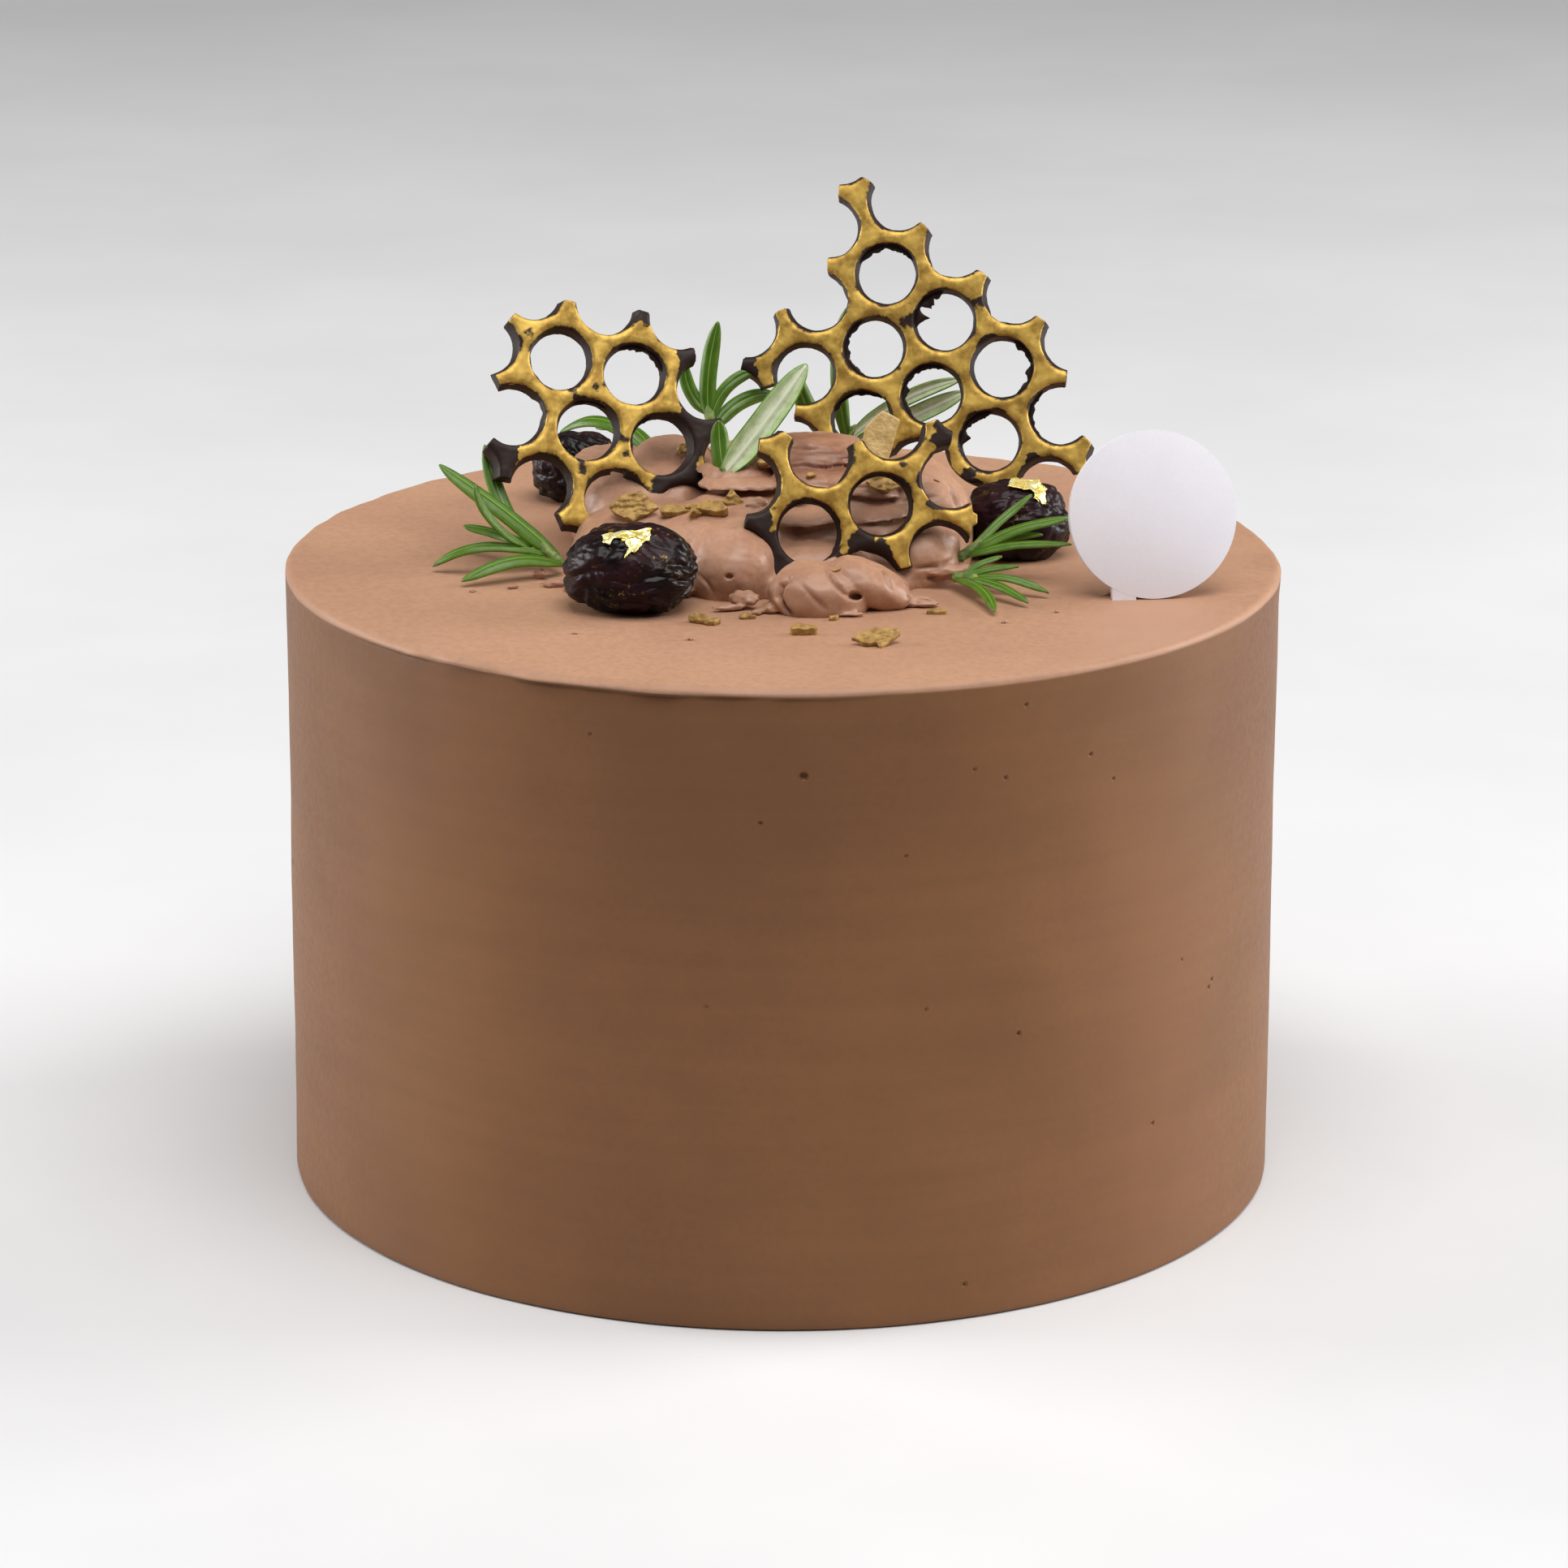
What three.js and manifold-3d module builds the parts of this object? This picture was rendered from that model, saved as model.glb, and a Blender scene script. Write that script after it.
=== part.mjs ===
// A whole round chocolate fudge cake, dressed with buttercream, gilded chocolate honeycomb,
// rosemary, cherries and a plain round topper.
// Millimetres, +Z up. The origin is the middle of the cake's base, and -Y is its front.
import * as THREE from 'three';
import { mergeVertices } from 'three/addons/utils/BufferGeometryUtils.js';
import Module from 'manifold-3d';

const wasm = await Module();
wasm.setup();

// Driving dimensions of the cake
const CAKE_TOP = 98;
const CAKE_RADIUS = 77;
const CAKE_BASE_RADIUS = 77.5;
const RIM_ROUND = 1.6;
const FOOT_ROUND = 0.8;
const CAKE_SEGMENTS = 60;
const ROUND_STEPS = 3;

// Clearance kept between pieces that press into each other
const GAP = 0.3;
const MERGE_TOLERANCE = 1e-4;

// Chocolate honeycomb: holes on a triangular lattice, wider at the gilded front face
const HOLE_PITCH = 11.8;
const HOLE_FRONT_RADIUS = 5.05;
const HOLE_BACK_RADIUS = 4.6;
const PLATE_THICKNESS = 3;
const RING_REACH = 0.62 * HOLE_PITCH;
const HOLE_SEGMENTS = 18;
const ARM_SEGMENTS = 10;
const LATTICE_RANGE = 4;

// Rosemary leaf: rounded upper face with a groove along the middle, rolled edges
const LEAF_STEPS = 5;
const LEAF_THICKNESS = 0.9;
const LEAF_SECTION = [[1, 0], [0.55, 0.5], [0, 0.3], [-0.55, 0.5], [-1, 0], [0, -0.5]];
const STEM_RADIUS = 0.9;
const STEM_SIDES = 6;
const LYING_FACE = [0, -0.3, 1];
const STANDING_FACE = [0, -1, 0.3];

// Plain round topper on a short stem
const TOPPER = { radius: 12.75, thickness: 1.8, lean: 15, yaw: 6, centre: [55.8, -21.8, 111.1] };
const TOPPER_STEM = { width: 3, turn: -22, length: 4.5, gap: 0.05 };
const TOPPER_SEGMENTS = 48;

// Spoonfuls of buttercream: centre, half sizes, turn about the upright axis in degrees,
// the number of folds laid across them, and how far their crown is drawn over, in millimetres
const DOLLOPS = [
  { at: [9.4, -29.4, 100.6], size: [10.4, 7, 4.9], turn: 6, drawn: [1, 1] },
  { at: [16.4, -27.4, 100.2], size: [6, 5.6, 4.8], turn: 40, drawn: [-1, 1.5] },
  { at: [-7.4, -19.6, 101.4], size: [6.8, 8.8, 8.2], turn: -12, drawn: [-0.6, 1] },
  { at: [12, -7, 103.4], size: [12.5, 9.5, 9.6], turn: 10, folds: 3, drawn: [0, 1.5] },
  { at: [-1, 3.4, 104.6], size: [12.5, 12, 10.4], turn: -15, folds: 3, drawn: [1, 1] },
  { at: [21.4, -1.4, 103.4], size: [8, 11.4, 11], turn: 8, drawn: [-1, 2] },
  { at: [-22.5, 9, 103], size: [11.5, 12.5, 9], turn: 20, drawn: [1.5, 0] },
  { at: [-20, -7.5, 101], size: [13, 9.5, 8.4], turn: -12, drawn: [1, 1] },
  { at: [-7, -9, 102.2], size: [9.5, 9.5, 8.2], turn: 0, drawn: [0, 1] },
  { at: [4, 20, 103], size: [17, 11, 9.4], turn: 8, folds: 3, drawn: [0, -1] },
  { at: [7, -19, 98.4], size: [13, 9, 3.2], turn: 0, drawn: [0, 0] },
];
const FOLD_DEPTH = 0.07;
const LUMP_DEPTH = 0.05;
const DOLLOP_ROUND_SEGMENTS = 14;
const DOLLOP_HEIGHT_SEGMENTS = 9;

// Crumbs of buttercream along the front of the heap: place and radius
const CRUMBS = [[-1.6, -32.6, 1.6], [1.2, -35, 1.2], [-4, -33.6, 1.1], [20.5, -31.4, 1.7]];

// Sour cherries: centre above the cake, half sizes, turn in degrees, seed of their wrinkles
const CHERRIES = [
  { name: 'cherry_front', at: [-22.8, -31.6], size: [9.8, 8.4, 6.8], turn: -8, seed: 11 },
  { name: 'cherry_right', at: [36.4, 1.4], size: [8, 7.6, 6.6], turn: 15, seed: 23 },
  { name: 'cherry_back', at: [-33.3, 37.6], size: [7.4, 7, 5.8], turn: -20, seed: 37 },
];
const CHERRY_SINK = 0.9;
const WRINKLE_COUNT = 5;
const WRINKLE_DEPTH = 0.05;
const CHERRY_ROUND_SEGMENTS = 16;
const CHERRY_HEIGHT_SEGMENTS = 11;

// Scraps of gold leaf on two of the cherries, as offsets from the cherry's centre
const GOLD_SCRAPS = {
  cherry_front: { from: [-3.2, -2, 5.9], mid: [0, -3.2, 6.1], to: [3, -4.6, 5], width: 3.4 },
  cherry_right: { from: [-1.6, -2.6, 6.2], mid: [1, -2, 6.7], to: [4, -2.8, 5.6], width: 4.4 },
};
const SCRAP_THICKNESS = 0.9;

// Honeycomb plates. Each complete hole is a ring; arms add joints between three holes as
// column, row, which triangle of the lattice cell, and reach as a share of the pitch
const PLATES = [
  {
    name: 'honeycomb_left',
    at: [-34.4, 5.4, 128.1], lean: 25.7, yaw: 15.3, spin: -14.8,
    rings: [[0, 0], [1, 0], [0, 1], [1, 1]],
    arms: [
      [-1, -1, 1, 0.27], [0, -1, 0, 0.22], [-1, 0, 0, 0.34], [1, -1, 0, 0.29], [1, -1, 1, 0.3],
      [1, 0, 1, 0.31], [0, 1, 1, 0.28], [-1, 1, 1, 0.39], [-1, 2, 0, 0.22], [-1, 1, 0, 0.33],
      [-2, 1, 1, 0.3],
    ],
  },
  {
    name: 'honeycomb_back',
    at: [16.1, 22.6, 138.2], lean: 20, yaw: -5, spin: -37.6,
    rings: [[0, 0], [1, 0], [0, 1], [2, 0], [1, 1], [2, 1]],
    arms: [
      [-1, -1, 1, 0.38], [-1, -1, 0, 0.24], [-1, 0, 0, 0.22], [0, -1, 0, 0.24], [1, -1, 0, 0.24],
      [2, -1, 0, 0.25], [2, -1, 1, 0.29], [2, 0, 1, 0.37], [3, 0, 0, 0.25], [-1, 1, 0, 0.31],
      [-2, 1, 1, 0.34], [-2, 2, 0, 0.27], [-1, 1, 1, 0.31], [-1, 2, 0, 0.33], [-1, 2, 1, 0.27],
      [0, 1, 1, 0.33], [0, 2, 0, 0.27],
    ],
  },
  {
    name: 'honeycomb_front',
    at: [4, -21, 107.2], lean: 21, yaw: 6, spin: 19.4,
    rings: [[0, 0], [1, 0]],
    arms: [
      [-1, 0, 0, 0.3], [0, -1, 0, 0.38], [0, -2, 1, 0.23], [-1, -1, 1, 0.25], [1, 0, 0, 0.4],
      [1, 0, 1, 0.2], [1, -1, 0, 0.29], [0, 0, 1, 0.3], [1, -1, 1, 0.4], [2, -1, 0, 0.2],
    ],
  },
];

// Rosemary sprigs: each leaf runs from its foot through a middle point to its tip
const SPRIGS = [
  {
    name: 'sprig_left',
    face: LYING_FACE,
    stem: [[-33.6, -12.4, 99.7], [-37, -9.6, 101.6], [-41, -7, 104.4]],
    leaves: [
      { from: [-34.3, -10, 100.5], mid: [-43, -8, 107.6], to: [-52.9, -6, 114], width: 3.4 },
      { from: [-40.4, -7, 104], mid: [-43.6, -4, 108.5], to: [-46.2, 0, 115.7], width: 2.6 },
      { from: [-39, -10, 102], mid: [-44, -12, 106.6], to: [-46.9, -13, 112.4], width: 2.4 },
      { from: [-38.5, -8, 101.6], mid: [-44.7, -2.6, 102.6], to: [-49.8, 0, 102.8], width: 2.2 },
      { from: [-36.4, -10.4, 101], mid: [-46.4, -12, 102.8], to: [-54, -11.4, 99.1], width: 2.4 },
      { from: [-33.6, -12.8, 100], mid: [-40.9, -17, 102], to: [-49, -20.7, 99.2], width: 3 },
    ],
  },
  {
    name: 'sprig_right',
    face: LYING_FACE,
    stem: [[26.6, -15, 101.2], [28.6, -13.6, 102.4], [31, -12.8, 103.8]],
    leaves: [
      { from: [28.4, -13.6, 102.4], mid: [33.4, -9.8, 106.6], to: [38.2, -7.6, 110], width: 1.8 },
      { from: [28, -14, 102.2], mid: [35.6, -13.6, 106.2], to: [43.6, -14.2, 107.9], width: 3.2 },
      { from: [27.6, -14.4, 101.8], mid: [35.4, -15.6, 104.2], to: [44, -18, 104.7], width: 2.4 },
      { from: [29.4, -13.2, 102.8], mid: [35, -12.6, 104.6], to: [39.6, -14.8, 105.4], width: 2 },
    ],
  },
  {
    name: 'sprig_low',
    face: LYING_FACE,
    stem: [[25.6, -20.4, 100], [27.6, -21.4, 100.1], [29.6, -22.6, 100.2]],
    leaves: [
      { from: [26, -20.4, 100], mid: [29.8, -19.4, 102], to: [33.4, -18.6, 103], width: 1.7 },
      { from: [26.6, -20.8, 100], mid: [31, -20.8, 101.6], to: [35.8, -21.6, 102.1], width: 1.9 },
      { from: [26, -20.8, 100], mid: [29.8, -28.4, 100.6], to: [31.6, -36.6, 99], width: 2.6 },
      { from: [27, -21.2, 100], mid: [32, -26.4, 100.8], to: [36.9, -31.6, 99], width: 2.2 },
      { from: [27.6, -21.4, 100], mid: [34, -23.4, 101], to: [40.3, -25.8, 99], width: 2.4 },
    ],
  },
  {
    name: 'sprig_middle',
    face: STANDING_FACE,
    stem: [[-9.1, -3, 110.9], [-9.2, -2.4, 111.6], [-9.2, -1.8, 112.4]],
    leaves: [
      { from: [-9.2, -2.4, 111.6], mid: [-3, 0.6, 119], to: [3.6, 4, 127.6], width: 4.2 },
      { from: [-9.2, -2.2, 111.8], mid: [-9.8, -0.6, 115.6], to: [-10, 0.8, 119.4], width: 2.8 },
    ],
  },
  {
    name: 'sprig_back',
    face: STANDING_FACE,
    stem: [[-9, 14, 106], [-10.6, 15, 112], [-12, 16.6, 118.2]],
    leaves: [
      { from: [-11.8, 16, 116.6], mid: [-11.8, 18, 123.4], to: [-10.3, 20, 131], width: 2.6 },
      { from: [-11.8, 16.4, 117], mid: [-14.8, 18, 120.4], to: [-15.6, 19, 124.6], width: 2.2 },
      { from: [-11.4, 15.8, 116], mid: [-8.6, 18, 121.2], to: [-3, 20, 123.4], width: 2 },
      { from: [-11, 15.4, 114.6], mid: [-6.6, 18.6, 118.4], to: [-1, 22, 118.8], width: 2.4 },
    ],
  },
  {
    name: 'sprig_far',
    face: LYING_FACE,
    stem: [[-20, 18.6, 108], [-20.4, 20, 108.8], [-21, 21.4, 109.6]],
    leaves: [
      { from: [-20.6, 20.4, 109], mid: [-28.6, 25.6, 114], to: [-36, 30, 110.8], width: 3 },
      { from: [-20.6, 21, 109.2], mid: [-24.4, 28.6, 112], to: [-30.4, 35, 110.4], width: 2.6 },
    ],
  },
  {
    name: 'sprig_behind',
    face: STANDING_FACE,
    stem: [[9.4, 33, 105], [10.6, 34, 108], [11.6, 35, 111]],
    leaves: [
      { from: [10.4, 34, 108], mid: [8.8, 35, 120], to: [10.4, 37, 130], width: 2.6 },
      { from: [10.4, 34, 108.6], mid: [19, 36, 114.6], to: [28.7, 37, 118], width: 2.4 },
      { from: [10.8, 34.4, 107.8], mid: [20.9, 36.6, 112], to: [29.4, 38, 115.7], width: 3 },
      { from: [10, 33.6, 107.4], mid: [4.4, 34, 113], to: [2.2, 34, 119.4], width: 3 },
    ],
  },
];

// A broad chip of gilded chocolate standing in the buttercream
const SHARD = { at: [14.8, 9.6, 115.4], width: 5, height: 10, thickness: 1.1, lean: 22, spin: -14 };

// Flakes of gilded chocolate: place, radius, thickness, turn and tilt in degrees
const FLAKE_SEED = 5;
const FLAKE_CORNERS = 6;
const FLAKE_SINK = 0.35;
const HEAP_FLAKE_LIFT = 0.35;
const CAKE_FLAKES = [
  { at: [13.7, -52.6], radius: 3.6, thickness: 1, turn: 10, tilt: 5 },
  { at: [3.1, -46.6], radius: 2, thickness: 1.3, turn: 30, tilt: 8 },
  { at: [-12, -40.2], radius: 1.5, thickness: 1, turn: 75, tilt: 10 },
  { at: [23, -34.6], radius: 1.2, thickness: 0.8, turn: 0, tilt: 0 },
  { at: [7.6, -38.4], radius: 1, thickness: 0.8, turn: 40, tilt: 0 },
];
const HEAP_FLAKES = [
  { at: [-24, -10.4], radius: 3.8, thickness: 1.1, turn: 12, tilt: 48 },
  { at: [-16.4, -11.6], radius: 2.8, thickness: 1.1, turn: -10, tilt: 40 },
  { at: [-11.6, -13.6], radius: 3, thickness: 1.2, turn: 24, tilt: 45 },
  { at: [-8.6, -11], radius: 2.6, thickness: 1, turn: 50, tilt: 55 },
  { at: [-3, -1.6], radius: 1.5, thickness: 0.9, turn: 0, tilt: 25 },
  { at: [15.6, -8.6], radius: 2.8, thickness: 1, turn: 20, tilt: 45 },
  { at: [6.6, 10.4], radius: 1.6, thickness: 0.9, turn: 70, tilt: 20 },
];

// Plain colours of the pieces
const CAKE_COLOUR = 0xa67c63;
const CREAM_COLOUR = 0xa9806c;
const GILT_COLOUR = 0xc9993f;
const CHIP_COLOUR = 0x9c7a3a;
const LEAF_COLOUR = 0x4d8a2a;
const CHERRY_COLOUR = 0x1f1420;
const TOPPER_COLOUR = 0xf0eef2;

const { degToRad } = THREE.MathUtils;

// Repeatable draws between 0 and 1
function seededDraw(seed) {
  const range = 4294967296;
  let state = seed;
  return () => {
    state = (state * 1664525 + 1013904223) % range;
    return state / range;
  };
}

// A closed solid from a geometry, with shared vertices merged and empty triangles left out
function toSolid(geometry) {
  geometry.deleteAttribute('normal');
  geometry.deleteAttribute('uv');
  const merged = mergeVertices(geometry, MERGE_TOLERANCE);
  const corners = merged.index.array;
  const triangles = [];
  for (let i = 0; i < corners.length; i += 3) {
    const [a, b, c] = [corners[i], corners[i + 1], corners[i + 2]];
    if (a !== b && b !== c && c !== a) {
      triangles.push(a, b, c);
    }
  }
  return new wasm.Manifold(new wasm.Mesh({
    numProp: 3,
    vertProperties: merged.attributes.position.array,
    triVerts: new Uint32Array(triangles),
  }));
}

function join(solids) {
  return solids.reduce((whole, solid) => whole.add(solid));
}

function cut(solid, tools) {
  return tools.reduce((rest, tool) => rest.subtract(tool), solid);
}

// The largest body of a solid that cutting has split
function largestBody(solid) {
  const bodies = solid.decompose();
  return bodies.reduce((best, body) => (body.volume() > best.volume() ? body : best));
}

// Everything below a level, as a block to cut with
function blockBelow(level) {
  const depth = 60;
  const block = new THREE.BoxGeometry(400, 400, depth);
  block.translate(0, 0, level - depth / 2);
  return toSolid(block);
}

function toGeometry(solid) {
  const { vertProperties, triVerts } = solid.getMesh();
  const geometry = new THREE.BufferGeometry();
  geometry.setAttribute('position', new THREE.BufferAttribute(vertProperties, 3));
  geometry.setIndex(new THREE.BufferAttribute(triVerts, 1));
  return geometry;
}

function toMesh(name, solid, colour, roughness, metalness = 0) {
  const geometry = toGeometry(solid);
  geometry.computeVertexNormals();
  const material = new THREE.MeshStandardMaterial({ color: colour, roughness, metalness });
  const mesh = new THREE.Mesh(geometry, material);
  mesh.name = name;
  return mesh;
}

// A closed skin through rings of points, both halves of each ring split alike
function loft(rings) {
  const count = rings[0].length;
  const points = rings.flat();
  const index = [];
  for (let i = 0; i + 1 < rings.length; i += 1) {
    for (let j = 0; j < count; j += 1) {
      const a = i * count + j;
      const b = i * count + ((j + 1) % count);
      const c = b + count;
      const d = a + count;
      if (j < count / 2) {
        index.push(a, b, c, a, c, d);
      } else {
        index.push(a, b, d, b, c, d);
      }
    }
  }
  const last = points.length - count;
  for (let j = 1; j + 1 < count; j += 1) {
    index.push(0, j + 1, j);
    index.push(last, last + j, last + j + 1);
  }
  const geometry = new THREE.BufferGeometry().setFromPoints(points);
  geometry.setIndex(index);
  return geometry;
}

// A smooth curve from a foot through a middle point to a tip
function bentCurve(from, mid, to) {
  const start = new THREE.Vector3(...from);
  const end = new THREE.Vector3(...to);
  const control = new THREE.Vector3(...mid).multiplyScalar(2);
  control.addScaledVector(start, -0.5).addScaledVector(end, -0.5);
  return new THREE.QuadraticBezierCurve3(start, control, end);
}

// Width of a leaf along its length: a narrow foot, parallel sides and a blunt tip
function leafWidth(t) {
  const foot = Math.min(1, (t + 0.08) / 0.3) ** 0.6;
  const tip = Math.max(0, (t - 0.6) / 0.4);
  return foot * Math.sqrt(1 - 0.97 * tip * tip);
}

function leafSolid({ from, mid, to, width }, face, thickness) {
  const curve = bentCurve(from, mid, to);
  const hint = new THREE.Vector3(...face);
  const rings = [];
  for (let i = 0; i <= LEAF_STEPS; i += 1) {
    const t = i / LEAF_STEPS;
    const centre = curve.getPoint(t);
    const along = curve.getTangent(t);
    const across = hint.clone().cross(along).normalize();
    const up = along.clone().cross(across).normalize();
    const half = (width / 2) * leafWidth(t);
    const rise = thickness * Math.sqrt(leafWidth(t));
    rings.push(LEAF_SECTION.map(([side, height]) => (
      centre.clone().addScaledVector(across, side * half).addScaledVector(up, height * rise)
    )));
  }
  return toSolid(loft(rings));
}

function stemSolid([from, mid, to]) {
  const profile = new THREE.Shape().absarc(0, 0, STEM_RADIUS, 0, 2 * Math.PI);
  return toSolid(new THREE.ExtrudeGeometry(profile, {
    extrudePath: bentCurve(from, mid, to),
    steps: 4,
    curveSegments: STEM_SIDES,
    bevelEnabled: false,
  }));
}

function sprigSolid({ face, stem, leaves }) {
  return join([stemSolid(stem), ...leaves.map((leaf) => leafSolid(leaf, face, LEAF_THICKNESS))]);
}

// A quarter-round of the cake's edge between two directions, as points of its profile
function roundedCorner(radius, height, round, startDegrees) {
  const points = [];
  for (let i = 0; i <= ROUND_STEPS; i += 1) {
    const angle = degToRad(startDegrees + (90 * i) / ROUND_STEPS);
    points.push(new THREE.Vector2(radius + round * Math.cos(angle), height + round * Math.sin(angle)));
  }
  return points;
}

function cakeBody() {
  const profile = [
    new THREE.Vector2(0, 0),
    ...roundedCorner(CAKE_BASE_RADIUS - FOOT_ROUND, FOOT_ROUND, FOOT_ROUND, -90),
    ...roundedCorner(CAKE_RADIUS - RIM_ROUND, CAKE_TOP - RIM_ROUND, RIM_ROUND, 0),
    new THREE.Vector2(0, CAKE_TOP),
  ];
  const body = new THREE.LatheGeometry(profile, CAKE_SEGMENTS);
  body.rotateX(Math.PI / 2);
  return toSolid(body);
}

// A ragged flake standing on a level, sunk a little into what it lies on
function flakeSolid({ at, radius, thickness, turn, tilt }, level, draw) {
  const outline = [];
  for (let i = 0; i < FLAKE_CORNERS; i += 1) {
    const angle = (2 * Math.PI * (i + 0.5 * draw())) / FLAKE_CORNERS;
    const reach = radius * (0.65 + 0.35 * draw());
    outline.push(new THREE.Vector2(reach * Math.cos(angle), 0.75 * reach * Math.sin(angle)));
  }
  const flake = new THREE.ExtrudeGeometry(new THREE.Shape(outline), {
    depth: thickness,
    bevelEnabled: false,
  });
  flake.translate(0, 0, -FLAKE_SINK);
  flake.rotateX(degToRad(tilt));
  flake.rotateZ(degToRad(turn));
  flake.translate(at[0], at[1], level);
  return toSolid(flake);
}

// One spoonful of buttercream: a lumpy ball with folds up its side and its crown drawn over
function dollopSolid({ at, size, turn, folds = 0, drawn }, grow) {
  const ball = new THREE.SphereGeometry(1, DOLLOP_ROUND_SEGMENTS, DOLLOP_HEIGHT_SEGMENTS);
  ball.rotateX(Math.PI / 2);
  const points = ball.attributes.position;
  const point = new THREE.Vector3();
  for (let i = 0; i < points.count; i += 1) {
    point.fromBufferAttribute(points, i);
    const fold = folds ? FOLD_DEPTH * Math.cos(folds * Math.PI * (point.z + 0.3 * point.x)) : 0;
    const lump = LUMP_DEPTH * Math.sin(3 * point.x + at[0]) * Math.sin(3 * point.y + at[1]);
    const crown = Math.max(0, point.z) ** 2;
    point.multiplyScalar(1 + fold + lump);
    const x = point.x * (size[0] + grow) + crown * drawn[0];
    const y = point.y * (size[1] + grow) + crown * drawn[1];
    points.setXYZ(i, x, y, point.z * (size[2] + grow));
  }
  ball.rotateZ(degToRad(turn));
  ball.translate(...at);
  return toSolid(ball);
}

function crumbSolid([x, y, radius], grow) {
  const crumb = new THREE.IcosahedronGeometry(radius + grow, 1);
  crumb.translate(x, y, CAKE_TOP + 0.4 * radius);
  return toSolid(crumb);
}

function heapSolid(grow) {
  const dollops = DOLLOPS.map((dollop) => dollopSolid(dollop, grow));
  const crumbs = CRUMBS.map((crumb) => crumbSolid(crumb, grow));
  return join([...dollops, ...crumbs]);
}

// Height of the buttercream over a place on the cake
function heapLevel([x, y]) {
  let level = CAKE_TOP;
  for (const { at, size, turn } of DOLLOPS) {
    const local = new THREE.Vector2(x - at[0], y - at[1]);
    local.rotateAround(new THREE.Vector2(), -degToRad(turn));
    const rest = 1 - (local.x / size[0]) ** 2 - (local.y / size[1]) ** 2;
    level = Math.max(level, at[2] + size[2] * Math.sqrt(Math.max(0, rest)));
  }
  return level;
}

function cherryCentre({ at, size }) {
  return new THREE.Vector3(at[0], at[1], CAKE_TOP + size[2] - CHERRY_SINK);
}

// A wrinkled cherry: seeded creases run round it in different directions
function cherrySolid(cherry, grow) {
  const draw = seededDraw(cherry.seed);
  const creases = Array.from({ length: WRINKLE_COUNT }, () => ({
    axis: new THREE.Vector3(draw() - 0.5, draw() - 0.5, draw() - 0.5).normalize(),
    rate: 3 + 3 * draw(),
    phase: 2 * Math.PI * draw(),
  }));
  const ball = new THREE.SphereGeometry(1, CHERRY_ROUND_SEGMENTS, CHERRY_HEIGHT_SEGMENTS);
  ball.rotateX(Math.PI / 2);
  const points = ball.attributes.position;
  const point = new THREE.Vector3();
  for (let i = 0; i < points.count; i += 1) {
    point.fromBufferAttribute(points, i);
    let dip = 0;
    for (const { axis, rate, phase } of creases) {
      dip += (1 - Math.abs(Math.sin(rate * point.dot(axis) + phase))) ** 3;
    }
    point.multiplyScalar(1 - WRINKLE_DEPTH * dip);
    points.setXYZ(i, point.x, point.y, point.z);
  }
  ball.scale(cherry.size[0] + grow, cherry.size[1] + grow, cherry.size[2] + grow);
  ball.rotateZ(degToRad(cherry.turn));
  ball.translate(...cherryCentre(cherry).toArray());
  return toSolid(ball);
}

function goldScrap(cherry) {
  const scrap = GOLD_SCRAPS[cherry.name];
  if (!scrap) {
    return [];
  }
  const centre = cherryCentre(cherry).toArray();
  const shifted = (offset) => offset.map((value, axis) => value + centre[axis]);
  const leaf = {
    from: shifted(scrap.from),
    mid: shifted(scrap.mid),
    to: shifted(scrap.to),
    width: scrap.width,
  };
  return [leafSolid(leaf, LYING_FACE, SCRAP_THICKNESS)];
}

// Place of a hole in the plane of its plate; rows run 60 degrees below columns
function holePlace(column, row) {
  const rowDrop = Math.sqrt(3) / 2;
  return new THREE.Vector2(HOLE_PITCH * (column + row / 2), -HOLE_PITCH * row * rowDrop);
}

// The middle of the joint between three neighbouring holes
function jointPlace(column, row, triangle) {
  const corner = triangle === 0 ? [column, row] : [column + 1, row + 1];
  const places = [holePlace(...corner), holePlace(column + 1, row), holePlace(column, row + 1)];
  return places.reduce((sum, place) => sum.add(place), new THREE.Vector2()).divideScalar(3);
}

// A round slug across the plate, from its front face back
function slug(place, frontRadius, backRadius, front, back, segments) {
  const geometry = new THREE.CylinderGeometry(frontRadius, backRadius, front - back, segments);
  geometry.rotateX(Math.PI / 2);
  geometry.translate(place.x, place.y, (front + back) / 2);
  return toSolid(geometry);
}

function platePlacement({ at, lean, yaw, spin }) {
  return new THREE.Matrix4().makeTranslation(...at)
    .multiply(new THREE.Matrix4().makeRotationZ(degToRad(yaw)))
    .multiply(new THREE.Matrix4().makeRotationX(degToRad(90 - lean)))
    .multiply(new THREE.Matrix4().makeRotationZ(degToRad(spin)));
}

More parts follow.
